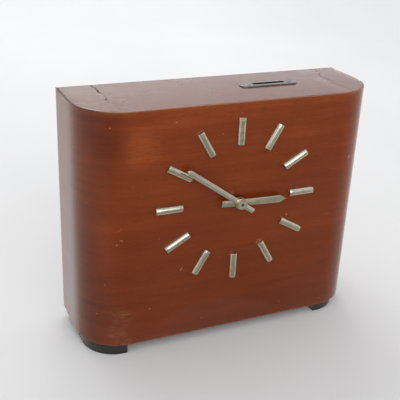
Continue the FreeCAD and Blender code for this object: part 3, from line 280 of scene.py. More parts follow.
def opening(side, y):
    if side < 0:
        w = 0.62 * smooth01(y, 9, 15) + 0.42 * smooth01(y, -9, -5) * (1 - smooth01(y, -3, 0.5))
        w = w + 0.12 * smooth01(y, -10, -4)
    else:
        w = 0.24 * smooth01(y, -7, 3) + 0.20 * smooth01(y, 6, 10) * (1 - smooth01(y, 19, 23))
    return 0.05 + w * (0.45 + 0.9 * ripple(y, 2.3, 91 + side))


def back_round(y, r=0.8):
    """Drop of the top face near the rear edge."""
    q = np.clip((np.asarray(y, float) - (BACK_Y - r)) / r, 0, 1)
    return r * (1 - np.sqrt(np.maximum(0, 1 - q * q)))


SLOT_X0, SLOT_X1, SLOT_Y0, SLOT_Y1 = 26.2, 56.2, -0.9, 4.5


def make_top():
    y0, r = -36.7, 0.8
    ys = list(np.arange(y0 + 0.6, BACK_Y - r - 0.2, 0.55)) + [SLOT_Y0, SLOT_Y1]
    ys = [y for y in ys if min(abs(y - SLOT_Y0), abs(y - SLOT_Y1)) > 0.2 or y in (SLOT_Y0, SLOT_Y1)]
    ys = sorted(ys + [y0, y0 + 0.25] + [BACK_Y - r + r * math.sin(math.pi / 2 * k / 5) for k in range(6)])
    mid = [-84, -60, -30, 0, 16, SLOT_X0, SLOT_X1, 70, 84]
    cols = 4 + len(mid)
    top, low, dirt_and_shade = np.zeros((len(ys), cols, 3)), np.zeros((len(ys), cols, 3)), np.zeros((2, len(ys), cols))
    chips = 0.5 * smooth01(ripple(np.array(mid), 7.0, 5), 0.6, 1.0)
    for i, y in enumerate(ys):
        xl = crack(-1, y) + opening(-1, y) / 2
        xr = crack(1, y) - opening(1, y) / 2
        lip_l = 0.03 + 1.0 * max(0.0, opening(-1, y) - 0.08)
        lip_r = 0.03 + 1.0 * max(0.0, opening(1, y) - 0.08)
        xs = [xl, xl + 0.30] + mid + [xr - 0.30, xr]
        drop = float(back_round(y, r)) + (0.10 if i == 0 else 0.0)
        for j, x in enumerate(xs):
            z = Z1 - drop
            if j == 0:
                z -= lip_l
            if j == cols - 1:
                z -= lip_r
            top[i, j] = (x, y, z)
            low[i, j] = (np.interp(x, [xl, -90, 90, xr], [-97, -90, 90, 97]), y, Z1 - 12.0)
        # stored darkening, grime and painted shade: on the crack's lips here, then along the joint at the front edge
        # and inside the slot below
        dirt_and_shade[0, i, 0], dirt_and_shade[0, i, -1] = min(1, 0.1 + 2.2 * opening(-1, y)), min(1, 0.1 + 2.2 * opening(1, y))
        dirt_and_shade[1, i, :] = 0.0
    dirt_and_shade[0, 0, :] = np.maximum(dirt_and_shade[0, 0, :], 0.5)
    r0, r1 = ys.index(SLOT_Y0), ys.index(SLOT_Y1)
    c0 = 2 + mid.index(SLOT_X0)
    skip = {(r_, c0) for r_ in range(r0, r1)}
    dirt_and_shade[:, r0:r1 + 1, c0:c0 + 2] = 1.0
    ob = layered("top_board_lacquered", [top, low], skip)
    store_val(ob, "dirt_and_shade", dirt_and_shade)
    return ob


def make_end(side):
    gap = 0.16
    out_x = CASE_X - SKIN - gap
    r = 0.8
    rows = []
    u0 = CORNER_X + CORNER_R * math.asin((97.0 - CORNER_X) / (CORNER_R - SKIN - gap))
    u1 = HALF - r - 0.2
    for k in range(121):
        x, y, nx, ny = skin_at(u0 + (u1 - u0) * k / 120)
        rows.append((y - ny * (SKIN + gap), x - nx * (SKIN + gap)))
    rows += [(BACK_Y - r + r * math.sin(math.pi / 2 * k / 5), out_x) for k in range(6)]
    cols = 9
    top = np.zeros((len(rows), cols, 3))
    mid, low = np.zeros_like(top), np.zeros_like(top)
    dirt_and_shade = np.zeros((3, len(rows), cols))
    for i, (y, xo) in enumerate(rows):
        xi = abs(crack(side, y)) + opening(side, y) / 2
        xi = min(xi, xo - 0.02)
        span = xo - xi
        a, b = min(0.30, span * 0.3), min(0.34, span * 0.3)
        lip = 0.03 + 1.0 * max(0.0, opening(side, y) - 0.08)
        rim = 0.22 + 0.12 * float(ripple(y, 2.0, 17 + side))
        xs = [xi, xi + a] + [xi + a + (span - a - b) * k / 5 for k in range(1, 5)] + [xo - b * 1.0, xo - b * 0.35, xo]
        zs_ = [-lip, 0, 0, 0, 0, 0, 0, -rim * 0.25, -rim]
        drop = float(back_round(y, r))
        for j in range(cols):
            top[i, j] = (side * xs[j], y, Z1 - drop + zs_[j])
            xm = 97.0 + (xo - 97.0) * (xs[j] - xi) / max(span, 1e-6)
            xm = min(max(xm, 97.0), max(xo, 97.0))
            mid[i, j] = (side * xm, y, 196.0)
            low[i, j] = (side * xm, y, Z0)
        # stored darkening, grime and painted shade: on the crack's lip and along the joint to the veneer
        dirt_and_shade[0, i, 0] = min(1, 0.1 + 2.2 * opening(side, y))
        dirt_and_shade[0, i, -1], dirt_and_shade[0, i, -2] = 1.0, 0.35
    layers = [top, mid, low]
    if side < 0:
        layers = [g[:, ::-1, :] for g in layers]
        dirt_and_shade = dirt_and_shade[:, :, ::-1]
    ob = layered("end_block_left_lacquered" if side < 0 else "end_block_right_lacquered", layers)
    store_val(ob, "dirt_and_shade", dirt_and_shade)
    return ob


# -------------------------------------------------------------------- batons
def make_batons():
    r, length, out = 3.25, 22.0, 69.0
    bev = 0.24
    steps = [(0.0, r - bev), (bev * 0.29, r - bev * 0.29), (bev, r)]
    steps += [(bev + (length - 2 * bev) * k / 6, r) for k in range(1, 6)]
    steps += [(length - s, q) for s, q in reversed(steps[:3])]
    seg = 28
    verts, faces, roll = [], [], []
    for n in range(12):
        a = math.radians(30 * n)
        du, dw = (math.sin(a), math.cos(a)), (math.cos(a), -math.sin(a))
        base = len(verts)
        wob = np.random.default_rng(300 + n)
        lift = wob.uniform(-0.03, 0.03, len(steps))
        for si, (s, q) in enumerate(steps):
            for k in range(seg + 1):
                t = math.pi * k / seg
                w, h = -q * math.cos(t), q * math.sin(t) + 0.0
                h *= 1 + lift[si] * 0.12
                rad = out - length + s
                verts.append((HUB_X + rad * du[0] + w * dw[0], FRONT_Y - h + (0.04 if k in (0, seg) else 0.0),
                              HUB_Z + rad * du[1] + w * dw[1]))
                roll.append((s * MM, (t - math.pi / 2) * r * MM, n * 0.05))
        m = seg + 1
        for i in range(len(steps) - 1):
            for k in range(seg):
                p = base + i * m + k
                faces.append((p, p + m, p + m + 1, p + 1))
            faces.append((base + i * m + seg, base + (i + 1) * m + seg, base + (i + 1) * m, base + i * m))
        faces.append(tuple(base + k for k in range(m)))
        faces.append(tuple(base + (len(steps) - 1) * m + k for k in range(m - 1, -1, -1)))
    ob = build("hour_batons_polished", verts, faces, 50.0)
    store_vec(ob, "unroll", roll)
    return ob


# --------------------------------------------------------------- node helpers
class Shade:
    def __init__(self, name):
        self.m = bpy.data.materials.new(name)
        self.m.use_nodes = True
        self.t = self.m.node_tree
        self.t.nodes.clear()
        self.out = self.t.nodes.new("ShaderNodeOutputMaterial")
        self.b = self.t.nodes.new("ShaderNodeBsdfPrincipled")
        self.t.links.new(self.b.outputs[0], self.out.inputs["Surface"])

    def put(self, sock, value):
        if isinstance(value, bpy.types.NodeSocket):
            self.t.links.new(value, sock)
        else:
            sock.default_value = value

    def set(self, **inputs):
        for key, value in inputs.items():
            if isinstance(value, tuple) and len(value) == 3:
                value = value + (1.0,)
            self.put(self.b.inputs[key.replace("_", " ")], value)

    def attr(self, name, out="Vector"):
        n = self.t.nodes.new("ShaderNodeAttribute")
        n.attribute_name = name
        return n.outputs[out]

    def obj(self):
        return self.t.nodes.new("ShaderNodeTexCoord").outputs["Object"]

    def map(self, vec, scale=(1, 1, 1), loc=(0, 0, 0), rot=(0, 0, 0)):
        n = self.t.nodes.new("ShaderNodeMapping")
        self.put(n.inputs["Vector"], vec)
        n.inputs["Scale"].default_value = scale
        n.inputs["Location"].default_value = loc
        n.inputs["Rotation"].default_value = rot
        return n.outputs[0]

    def noise(self, vec, scale=1.0, detail=2.0, rough=0.5, warp=0.0):
        n = self.t.nodes.new("ShaderNodeTexNoise")
        self.put(n.inputs["Vector"], vec)
        n.inputs["Scale"].default_value = scale
        n.inputs["Detail"].default_value = detail
        n.inputs["Roughness"].default_value = rough
        n.inputs["Distortion"].default_value = warp
        return n.outputs["Fac"]

    def cells(self, vec, scale, out="Distance"):
        n = self.t.nodes.new("ShaderNodeTexVoronoi")
        self.put(n.inputs["Vector"], vec)
        n.inputs["Scale"].default_value = scale
        return n.outputs[out]

    def math(self, op, a, b=0.0, c=0.0, clamp=False):
        n = self.t.nodes.new("ShaderNodeMath")
        n.operation = op
        n.use_clamp = clamp
        for s, v in zip(n.inputs, (a, b, c)):
            self.put(s, v)
        return n.outputs[0]

    def add(self, *v):
        r = v[0]
        for q in v[1:]:
            r = self.math("ADD", r, q)
        return r

    def mul(self, *v):
        r = v[0]
        for q in v[1:]:
            r = self.math("MULTIPLY", r, q)
        return r

    def most(self, *v):
        r = v[0]
        for q in v[1:]:
            r = self.math("MAXIMUM", r, q)
        return r

    def span(self, v, a, b, c=0.0, d=1.0, soft=True):
        n = self.t.nodes.new("ShaderNodeMapRange")
        n.interpolation_type = "SMOOTHSTEP" if soft else "LINEAR"
        n.clamp = True
        for s, q in zip(n.inputs, (v, a, b, c, d)):
            self.put(s, q)
        return n.outputs[0]

    def split(self, vec):
        n = self.t.nodes.new("ShaderNodeSeparateXYZ")
        self.put(n.inputs[0], vec)
        return n.outputs

    def join(self, x, y, z):
        n = self.t.nodes.new("ShaderNodeCombineXYZ")
        for s, v in zip(n.inputs, (x, y, z)):
            self.put(s, v)
        return n.outputs[0]

    def ramp(self, fac, stops):
        n = self.t.nodes.new("ShaderNodeValToRGB")
        self.put(n.inputs[0], fac)
        e = n.color_ramp.elements
        while len(e) < len(stops):
            e.new(0.5)
        for q, (pos, col) in zip(e, stops):
            q.position = pos
            q.color = tuple(col) + (1.0,)
        return n.outputs[0]

    def mix(self, fac, a, b, mode="MIX"):
        n = self.t.nodes.new("ShaderNodeMix")
        n.data_type = "RGBA"
        n.blend_type = mode
        self.put(n.inputs[0], fac)
        for s, v in ((n.inputs[6], a), (n.inputs[7], b)):
            self.put(s, v + (1.0,) if isinstance(v, tuple) and len(v) == 3 else v)
        return n.outputs[2]

    def bump(self, height, strength, dist, normal=None):
        n = self.t.nodes.new("ShaderNodeBump")
        n.inputs["Strength"].default_value = strength
        n.inputs["Distance"].default_value = dist
        self.put(n.inputs["Height"], height)
        if normal is not None:
            self.put(n.inputs["Normal"], normal)
        return n.outputs[0]

    def rim(self, radius, gain=6.0):
        """1 along the outer edges of a piece, 0 on its flats."""
        n = self.t.nodes.new("ShaderNodeBevel")
        n.samples = 4
        n.inputs["Radius"].default_value = radius
        g = self.t.nodes.new("ShaderNodeNewGeometry")
        d = self.t.nodes.new("ShaderNodeVectorMath")
        d.operation = "DOT_PRODUCT"
        self.t.links.new(n.outputs[0], d.inputs[0])
        self.t.links.new(g.outputs["Normal"], d.inputs[1])
        return self.mul(self.math("SUBTRACT", 1.0, d.outputs["Value"]), gain)

    def blob(self, x, z, cx, cz, hx, hz, turn=0.0, wob=None, hard=0.55):
        """Soft ellipse in the sheet, 1 in the middle. Millimetres, degrees."""
        c, s = math.cos(math.radians(turn)), math.sin(math.radians(turn))
        dx = self.math("SUBTRACT", x, cx * MM)
        dz = self.math("SUBTRACT", z, cz * MM)
        a = self.mul(self.add(self.mul(dx, c), self.mul(dz, s)), 1.0 / (hx * MM))
        b = self.mul(self.add(self.mul(dx, -s), self.mul(dz, c)), 1.0 / (hz * MM))
        d = self.math("SQRT", self.add(self.mul(a, a), self.mul(b, b)))
        if wob is not None:
            d = self.add(d, wob)
        return self.span(d, 1.0, hard)

    def star(self, x, z, cx, cz, r, seed):
        """Rubbed spot with crossing fine scratches."""
        dx = self.math("SUBTRACT", x, cx * MM)
        dz = self.math("SUBTRACT", z, cz * MM)
        d = self.mul(self.math("SQRT", self.add(self.mul(dx, dx), self.mul(dz, dz))), 1.0 / (r * MM))
        total = None
        for k, (turn, along, across, part) in enumerate(((0.38, 75.0, 900.0, 0.50), (-0.12, 60.0, 1000.0, 0.45), (0.9, 120.0, 800.0, 0.30))):
            c, q = math.cos(turn), math.sin(turn)
            a = self.add(self.mul(dx, c), self.mul(dz, q))
            b = self.add(self.mul(dx, -q), self.mul(dz, c))
            lines = self.noise(self.join(self.mul(a, along), self.add(self.mul(b, across), seed), seed + k), 1.0, 2.0, 0.6)
            one = self.mul(self.span(lines, 0.50, 0.72), part)
            total = one if total is None else self.add(total, one)
        rub = self.span(self.noise(self.join(self.mul(dx, 190.0), seed, self.mul(dz, 330.0)), 1.0, 4.0, 0.65), 0.40, 0.70)
        return self.mul(self.add(total, self.mul(rub, 0.40)), self.span(d, 1.0, 0.15))


# ------------------------------------------------------------------ materials
def lacquered(name, sheet):
    """Red-brown lacquered mahogany. sheet: the bent front; else the solid wood."""
    s = Shade(name)
    vec = s.attr("unroll") if sheet else s.obj()
    x, y, z = s.split(vec)
    across = (1.0, 9.0, 16.0)
    sway = s.noise(s.map(vec, (6.0, 18.0, 18.0)), 1.0, 2.0, 0.5)
    shift = s.mul(s.math("SUBTRACT", sway, 0.5), 0.011)
    vec2 = s.join(x, s.add(y, shift), s.add(z, shift))
    band = s.noise(s.map(vec2, (4.0, 95.0, 95.0)), 1.0, 5.0, 0.62)
    fibre = s.noise(s.map(vec2, (26.0, 1150.0, 1150.0)), 1.0, 3.0, 0.6)
    pore = s.noise(s.map(vec2, (150.0, 3600.0, 3600.0), (3.1, 0, 0)), 1.0, 1.0, 0.5)
    cloud = s.noise(s.map(vec, (13.0, 13.0, 15.0), (4.2, 1.0, 0.4)), 1.0, 3.0, 0.5)
    tone = s.add(s.mul(band, 0.44), s.mul(fibre, 0.22), s.mul(cloud, 0.32), 0.01)
    if sheet:
        tone = s.add(
            tone,
            s.mul(s.blob(x, z, -82, 176, 22, 21, 10, hard=0.0), 0.20),
            s.mul(s.blob(x, z, -106, 186, 20, 52, 0, hard=0.0), -0.25),
            s.mul(s.blob(x, z, -104, 50, 24, 46, 0, hard=0.0), -0.07),
            s.mul(s.blob(x, z, -112, 100, 20, 34, 0, hard=0.0), 0.10),
            s.mul(s.blob(x, z, -123, 193, 16, 30, 0, hard=0.0), -0.16),
            s.mul(s.span(x, -0.104, -0.122), -0.15),
            s.mul(s.blob(x, z, -15, 200, 75, 13, 0, hard=0.0), 0.12),
            s.mul(s.blob(x, z, 84, 203, 45, 9, 0, hard=0.0), 0.10),
            s.span(z, 0.03, 0.17, -0.05, 0.09),
        )
    stops = [(0.18, (0.088, 0.0140, 0.0032)), (0.42, (0.150, 0.0262, 0.0056)), (0.60, (0.200, 0.0360, 0.0074)),
             (0.85, (0.310, 0.0660, 0.0130))]
    col = s.ramp(tone, stops)
    pores = s.span(pore, 0.60, 0.72)
    col = s.mix(s.mul(pores, 0.45), col, (0.045, 0.0085, 0.003))
    if sheet:
        # small dents and scratches: place, half sizes, turn
        nick = s.mul(s.math("SUBTRACT", s.noise(s.map(vec, (900, 900, 900)), 1.0, 2.0), 0.5), 0.9)
        marks = [(-47.1, 70.1, 2.6, 0.55, 58, 0.95), (-44.9, 68.9, 0.9, 0.5, 30, 0.5), (45.9, 104.4, 1.0, 1.2, 0, 0.75),
                 (84.6, 98.9, 7.5, 0.42, -4, 0.40), (-96.8, 103.4, 1.9, 0.55, -12, 0.85), (-100.2, 99.8, 0.8, 0.9, 0, 0.7),
                 (-104.7, 192.6, 0.8, 0.8, 0, 0.8), (-55.0, 193.4, 1.2, 0.7, 10, 0.55), (-1.4, 195.9, 0.8, 0.6, 0, 0.6),
                 (-16.8, 180.7, 0.9, 0.7, 0, 0.6), (103.6, 147.8, 2.2, 1.9, 20, 0.75), (-116.8, 37.0, 0.8, 0.8, 0, 0.7),
                 (-73.3, 38.5, 0.8, 0.9, 0, 0.6), (-109.6, 64.8, 0.7, 0.9, 0, 0.5), (-27.0, 19.8, 0.7, 0.9, 0, 0.6),
                 (89.1, 14.7, 0.8, 0.8, 0, 0.6), (47.3, 19.5, 0.9, 0.6, 0, 0.6), (-124.9, 131.6, 0.6, 0.8, 0, 0.5),
                 (-66.0, 100.0, 0.7, 0.5, 40, 0.4), (-48.0, 92.0, 0.6, 0.6, 0, 0.45), (-98.5, 112.0, 3.5, 0.35, 35, 0.35),
                 (63.0, 172.0, 5.0, 0.30, 3, 0.22), (88.0, 140.0, 6.0, 0.28, 0, 0.22), (76.0, 163.0, 8.0, 0.26, 2, 0.18),
                 (30.0, 160.0, 0.7, 0.5, 0, 0.35), (-88.0, 147.0, 0.7, 0.6, 0, 0.4), (-81.0, 138.0, 0.6, 0.6, 0, 0.35),
                 (136.0, 90.0, 0.9, 1.3, 0, 0.6), (141.0, 60.0, 0.7, 1.1, 0, 0.5), (166.0, 120.0, 1.4, 0.6, 30, 0.5),
                 (-160.0, 150.0, 1.1, 0.7, 20, 0.4), (-170.0, 60.0, 0.8, 1.2, 0, 0.45)]
        m = 0.0
        for cx, cz, hx, hz, turn, force in marks:
            one = s.mul(s.blob(x, z, cx, cz, hx, hz, turn, nick), force)
            m = one if isinstance(m, float) else s.most(m, one)
        scuff = s.most(s.mul(s.star(x, z, -95.5, 35.0, 13.0, 1.7), 0.50), s.mul(s.star(x, z, -99.0, 19.0, 13.0, 5.1), 0.50),
                       s.mul(s.star(x, z, -92.5, 11.5, 6.0, 8.3), 0.50))
        m = s.most(m, scuff)
        dust = s.mul(s.span(s.cells(vec, 210.0), 0.085, 0.03), s.span(s.noise(vec, 45.0, 1.0), 0.58, 0.66))
        m = s.most(m, s.mul(dust, 0.55))
        # worn rims
        e_top = s.math("SUBTRACT", Z1 * MM, z)
        e_low = s.math("SUBTRACT", z, Z0 * MM)
        e_back = s.math("SUBTRACT", HALF * MM, s.math("ABSOLUTE", x))
        edge = s.math("MINIMUM", s.math("MINIMUM", e_top, e_low), e_back)
        gnaw = s.noise(s.map(vec, (260, 260, 260)), 1.0, 3.0, 0.6)
        line = s.span(s.add(edge, s.mul(gnaw, -0.0013)), 0.0006, -0.0004)
        halo = s.mul(s.span(s.add(edge, s.mul(gnaw, -0.006)), 0.0016, -0.0016), 0.35)
        chipped = s.span(s.attr("chip", "Fac"), 0.28, 0.75)
        upper = s.span(z, 0.10, 0.11)
        bare = s.mul(s.most(s.mul(line, 0.75), s.mul(chipped, 0.8)), s.span(z, 0.10, 0.11, 0.38, 1.0))
        bare = s.most(bare, s.mul(chipped, s.span(x, -0.158, -0.162), s.span(x, -0.176, -0.173)))
        joint = s.mul(s.span(x, -0.104, -0.118), upper)
        col = s.mix(s.mul(halo, s.span(z, 0.10, 0.11, 0.3, 1.0)), col, (0.235, 0.064, 0.017))
        dark_joint = s.most(joint, s.span(x, -0.150, -0.160))
        worn = s.mix(dark_joint, (0.330, 0.150, 0.066), (0.045, 0.017, 0.010))
        col = s.mix(bare, col, worn)
        col = s.mix(s.mul(m, 0.72), col, (0.400, 0.185, 0.085))
        rough_extra = s.add(s.mul(bare, 0.25), s.mul(m, 0.28))
        relief = s.add(s.mul(fibre, 0.16), s.mul(pores, -0.5), s.mul(m, -1.6))
    else:
        # grime and painted shade along the outline of the slot plate, joined with the stored darkening, which is grime
        # and painted shade in the crack, inside the slot and along the joints to the veneer
        over = s.math("MAXIMUM", s.math("SUBTRACT", s.math("ABSOLUTE", s.math("SUBTRACT", x, 0.0412)), 0.0205), 0.0)
        beside = s.math("MAXIMUM", s.math("SUBTRACT", s.math("ABSOLUTE", s.math("SUBTRACT", y, 0.0018)), 0.0001), 0.0)
        away = s.math("SUBTRACT", s.math("SQRT", s.add(s.mul(over, over), s.mul(beside, beside))), 0.0053)
        plate_seam_dirt_and_shade = s.mul(s.span(away, 0.0009, 0.0002), s.span(z, 0.200, 0.203))
        dirt_and_shade = s.most(s.attr("dirt_and_shade", "Fac"), plate_seam_dirt_and_shade)
        grime_and_shade = s.noise(s.map(vec, (150, 150, 150)), 1.0, 3.0, 0.6)
        dirt_and_shade_mask = s.span(s.add(dirt_and_shade, s.mul(s.math("SUBTRACT", grime_and_shade, 0.5), 0.6)), 0.30, 0.85)
        # paler top face: partly haze in the old lacquer, partly a painted sheen standing in for its grazing reflection;
        # paler towards the left and the back, a fifth as strong on the sides
        haze_and_sheen = s.span(s.noise(s.map(vec, (16, 34, 34), (7.7, 0, 0)), 1.0, 3.0, 0.55), 0.35, 0.75)
        pale = s.add(0.08, s.mul(haze_and_sheen, 0.16), s.span(x, -0.03, -0.11, 0.0, 0.20), s.span(y, -0.034, 0.034, -0.13, 0.24))
        pale = s.mul(s.math("MAXIMUM", pale, 0.0), s.span(z, 0.1950, 0.2025, 0.20, 1.0))
        col = s.mix(pale, col, (0.34, 0.25, 0.21))
        scratch = s.span(s.noise(s.map(vec, (25, 900, 900), (1.0, 2.0, 0)), 1.0, 2.0), 0.66, 0.74)
        col = s.mix(s.mul(scratch, 0.14), col, (0.40, 0.25, 0.18))
        # near black: grime and painted shade
        col = s.mix(s.mul(dirt_and_shade_mask, 0.85), col, (0.020, 0.010, 0.007))
        rough_extra = s.add(s.mul(haze_and_sheen, 0.07), s.mul(dirt_and_shade_mask, 0.35), s.mul(scratch, 0.05))
        relief = s.add(s.mul(fibre, 0.20), s.mul(pores, -0.5), s.mul(scratch, -0.3))
    base_r = 0.11 if sheet else 0.19
    uneven = s.span(s.noise(s.map(vec, (30, 60, 60), (0.3, 0, 0)), 1.0, 4.0, 0.6), 0.3, 0.75, -0.03, 0.06)
    s.set(Base_Color=col, Roughness=s.add(uneven, rough_extra, base_r))
    s.b.inputs["IOR"].default_value = 1.5
    swell = s.bump(s.noise(s.map(vec, (22, 26, 26), (5.0, 0, 0)), 1.0, 1.0), 0.08 if sheet else 0.010, 0.0012)
    s.set(Normal=s.bump(relief, 0.20 if sheet else 0.03, 0.00012, swell))
    if sheet:
        s.b.inputs["Specular IOR Level"].default_value = 0.36
    else:
        s.b.inputs["Coat Weight"].default_value = 0.35
        s.b.inputs["Coat Roughness"].default_value = 0.14
    return s.m


def raw_wood(name, light, dark, rough, grain_axis, ply=False):
    s = Shade(name)
    vec = s.obj()
    scale_long, scale_band, scale_fine = 9.0, 130.0, 1400.0
    k = [scale_band] * 3
    k[grain_axis] = scale_long
    f = [scale_fine] * 3
    f[grain_axis] = 40.0
    sway = s.mul(s.math("SUBTRACT", s.noise(vec, 14.0, 2.0), 0.5), 0.02)
    x, y, z = s.split(vec)
    vec2 = s.join(s.add(x, 0.0 if grain_axis == 0 else sway), s.add(y, sway), s.add(z, 0.0 if grain_axis == 2 else sway))
    band = s.noise(s.map(vec2, tuple(k)), 1.0, 5.0, 0.6)
    fine = s.noise(s.map(vec2, tuple(f)), 1.0, 3.0, 0.6)
    rings = s.math("SINE", s.mul(band, 55.0))
    tone = s.add(s.mul(band, 0.7), s.mul(fine, 0.3), s.mul(rings, 0.045))
    mid = tuple((a + b) / 2 for a, b in zip(light, dark))
    col = s.ramp(tone, [(0.28, dark), (0.50, mid), (0.72, light)])
    stain = s.span(s.noise(vec, 22.0, 4.0, 0.6), 0.52, 0.75)
    col = s.mix(s.mul(stain, 0.30), col, tuple(c * 0.45 for c in dark))
    edge = s.span(s.add(s.rim(0.0009), s.mul(s.math("SUBTRACT", s.noise(vec, 330.0, 2.0), 0.5), 0.5)), 0.25, 0.7)
    col = s.mix(s.mul(edge, 0.55), col, tuple(min(1, c * 1.5 + 0.03) for c in light))
    s.set(Base_Color=col, Roughness=s.add(rough, s.mul(fine, 0.16), s.mul(edge, 0.1)))
    s.set(Normal=s.bump(s.add(fine, s.mul(band, 0.6)), 0.30, 0.00018))
    return s.m


def metal(name, tints, rough, axis_scale, tarnish=(0.10, 0.085, 0.06), spots=0.35, painted_edge_highlight=0.35, turn=0.0, sheet=False):
    """Metal with fine lines along one direction, dull patches, spots, and rubbed edges that lose the tarnish and are
    painted brighter as a highlight.
    """
    s = Shade(name)
    vec = s.attr("unroll") if sheet else s.map(s.obj(), rot=(0.0, turn, 0.0))
    lines = s.noise(s.map(vec, axis_scale), 1.0, 3.0, 0.65)
    cloud = s.noise(vec, 120.0, 4.0, 0.6)
    grain = s.noise(vec, 2600.0, 2.0, 0.5)
    col = s.ramp(s.add(s.mul(cloud, 0.75), s.mul(lines, 0.25)), [(0.30, tints[0]), (0.52, tints[1]), (0.72, tints[2])])
    speck = s.mul(s.span(s.cells(vec, 700.0), 0.16, 0.05), s.span(s.noise(vec, 240.0, 2.0), 0.58, 0.70))
    dull = s.span(s.noise(s.map(vec, loc=(0.37, 0.11, 0.23)), 210.0, 5.0, 0.62), 0.50, 0.74)
    # rubbed edges: the tarnish is worn off them, and they are also painted brighter as a painted highlight
    rub = s.span(s.add(s.rim(0.00035), s.mul(s.math("SUBTRACT", cloud, 0.5), 0.8)), 0.30, 0.80)
    mask = s.mul(s.most(s.mul(speck, 0.8), s.mul(dull, spots)), s.math("SUBTRACT", 1.0, rub))
    col = s.mix(mask, col, tarnish)
    col = s.mix(s.mul(rub, painted_edge_highlight), col, tuple(min(1.0, c * 1.25) for c in tints[2]))
    s.set(Base_Color=col, Metallic=1.0)
    r = s.add(rough, s.mul(s.math("SUBTRACT", lines, 0.5), 0.16), s.mul(s.math("SUBTRACT", cloud, 0.5), 0.10), s.mul(mask, 0.30))
    s.set(Roughness=s.math("MAXIMUM", r, 0.06))
    s.set(Normal=s.bump(s.add(lines, s.mul(grain, 0.3), s.mul(mask, -0.8)), 0.01 if sheet else 0.04, 0.00006))
    return s.m


def turned(name):
    """Collet: pale turned face with fine rings, yellowish worn rim and side, grime spots and painted shade round the
    centre hole.
    """
    s = Shade(name)
    vec = s.obj()
    x, y, z = s.split(vec)
    dx, dz = s.math("SUBTRACT", x, HUB_X * MM), s.math("SUBTRACT", z, HUB_Z * MM)
    d = s.math("SQRT", s.add(s.mul(dx, dx), s.mul(dz, dz)))
    cloud = s.noise(vec, 480.0, 3.0, 0.6)
    rings = s.noise(s.join(s.mul(d, 5200.0), 0.3, 0.7), 1.0, 2.0, 0.6)
    far = s.add(d, s.mul(s.math("SUBTRACT", cloud, 0.5), 0.0012))
    col = s.ramp(s.add(s.mul(cloud, 0.7), s.mul(rings, 0.3)), [(0.30, (0.64, 0.60, 0.50)), (0.55, (0.76, 0.73, 0.66)), (0.75, (0.84, 0.82, 0.78))])
    col = s.mix(s.mul(s.span(far, 0.0031, 0.0037), 0.85), col, (0.63, 0.58, 0.34))
    # painted shade darkening the face round the centre hole, with grime spots
    grime_and_shade = s.most(s.span(far, 0.0016, 0.0010), s.mul(s.span(s.noise(vec, 700.0, 3.0, 0.6), 0.60, 0.74), 0.5))
    col = s.mix(s.mul(grime_and_shade, 0.8), col, (0.16, 0.13, 0.08))
    s.set(Base_Color=col, Metallic=1.0, Roughness=s.add(0.30, s.mul(rings, 0.12), s.mul(grime_and_shade, 0.3)))
    s.set(Normal=s.bump(s.add(rings, s.mul(cloud, 0.4)), 0.06, 0.00006))
    return s.m


def black_lacquer(name):
    s = Shade(name)
    vec = s.obj()
    orange = s.noise(vec, 420.0, 2.0)
    cloud = s.noise(vec, 55.0, 4.0, 0.6)
    edge = s.span(s.add(s.rim(0.0011), s.mul(s.math("SUBTRACT", s.noise(vec, 420.0, 3.0), 0.5), 0.9)), 0.45, 0.95)
    dust = s.span(s.noise(s.map(vec, (90, 90, 340)), 1.0, 4.0, 0.6), 0.54, 0.80)
    col = s.ramp(cloud, [(0.3, (0.0085, 0.0080, 0.0075)), (0.7, (0.0170, 0.0155, 0.0145))])
    col = s.mix(s.mul(dust, 0.20), col, (0.075, 0.068, 0.062))
    col = s.mix(s.mul(edge, 0.35), col, (0.075, 0.060, 0.048))
    s.set(Base_Color=col, Roughness=s.add(0.30, s.mul(cloud, 0.18), s.mul(dust, 0.16)))
    s.set(Normal=s.bump(s.add(orange, s.mul(cloud, 0.5)), 0.15, 0.00010))
    return s.m


# -------------------------------------------------------------- looks by node
skin = make_skin()
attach(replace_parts(skin, "front_veneer"), "case")
top = make_top()
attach(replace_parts(top, "top_board"), "case")
ends = []
for side, node in ((-1, "end_block_left"), (1, "end_block_right")):
    e = make_end(side)
    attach(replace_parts(e, node), "case")
    ends.append(e)
batons = make_batons()
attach(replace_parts(batons, "hour_batons"), "case")

m_sheet = lacquered("lacquered_veneer", True)
m_solid = lacquered("lacquered_board", False)
skin.data.materials.append(m_sheet)
for o in [top] + ends:
    o.data.materials.append(m_solid)

CHAMPAGNE = ((0.57, 0.53, 0.38), (0.70, 0.66, 0.53), (0.79, 0.77, 0.68))
m_baton = metal("plated_brass_batons", CHAMPAGNE, 0.17, (60.0, 2600.0, 1.0), (0.24, 0.205, 0.12), 0.30, sheet=True)
batons.data.materials.append(m_baton)
m_hour = metal("plated_brass_hour", CHAMPAGNE, 0.20, (60.0, 2400.0, 2400.0), (0.26, 0.22, 0.13), 0.28, turn=math.radians(2.7))
SILVERY = ((0.70, 0.64, 0.52), (0.80, 0.755, 0.68), (0.86, 0.83, 0.79))
m_minute = metal("plated_brass_minute", SILVERY, 0.24, (60.0, 2400.0, 2400.0), (0.26, 0.22, 0.13), 0.28, turn=math.radians(-144.8))
m_hub = turned("plated_brass_turned")
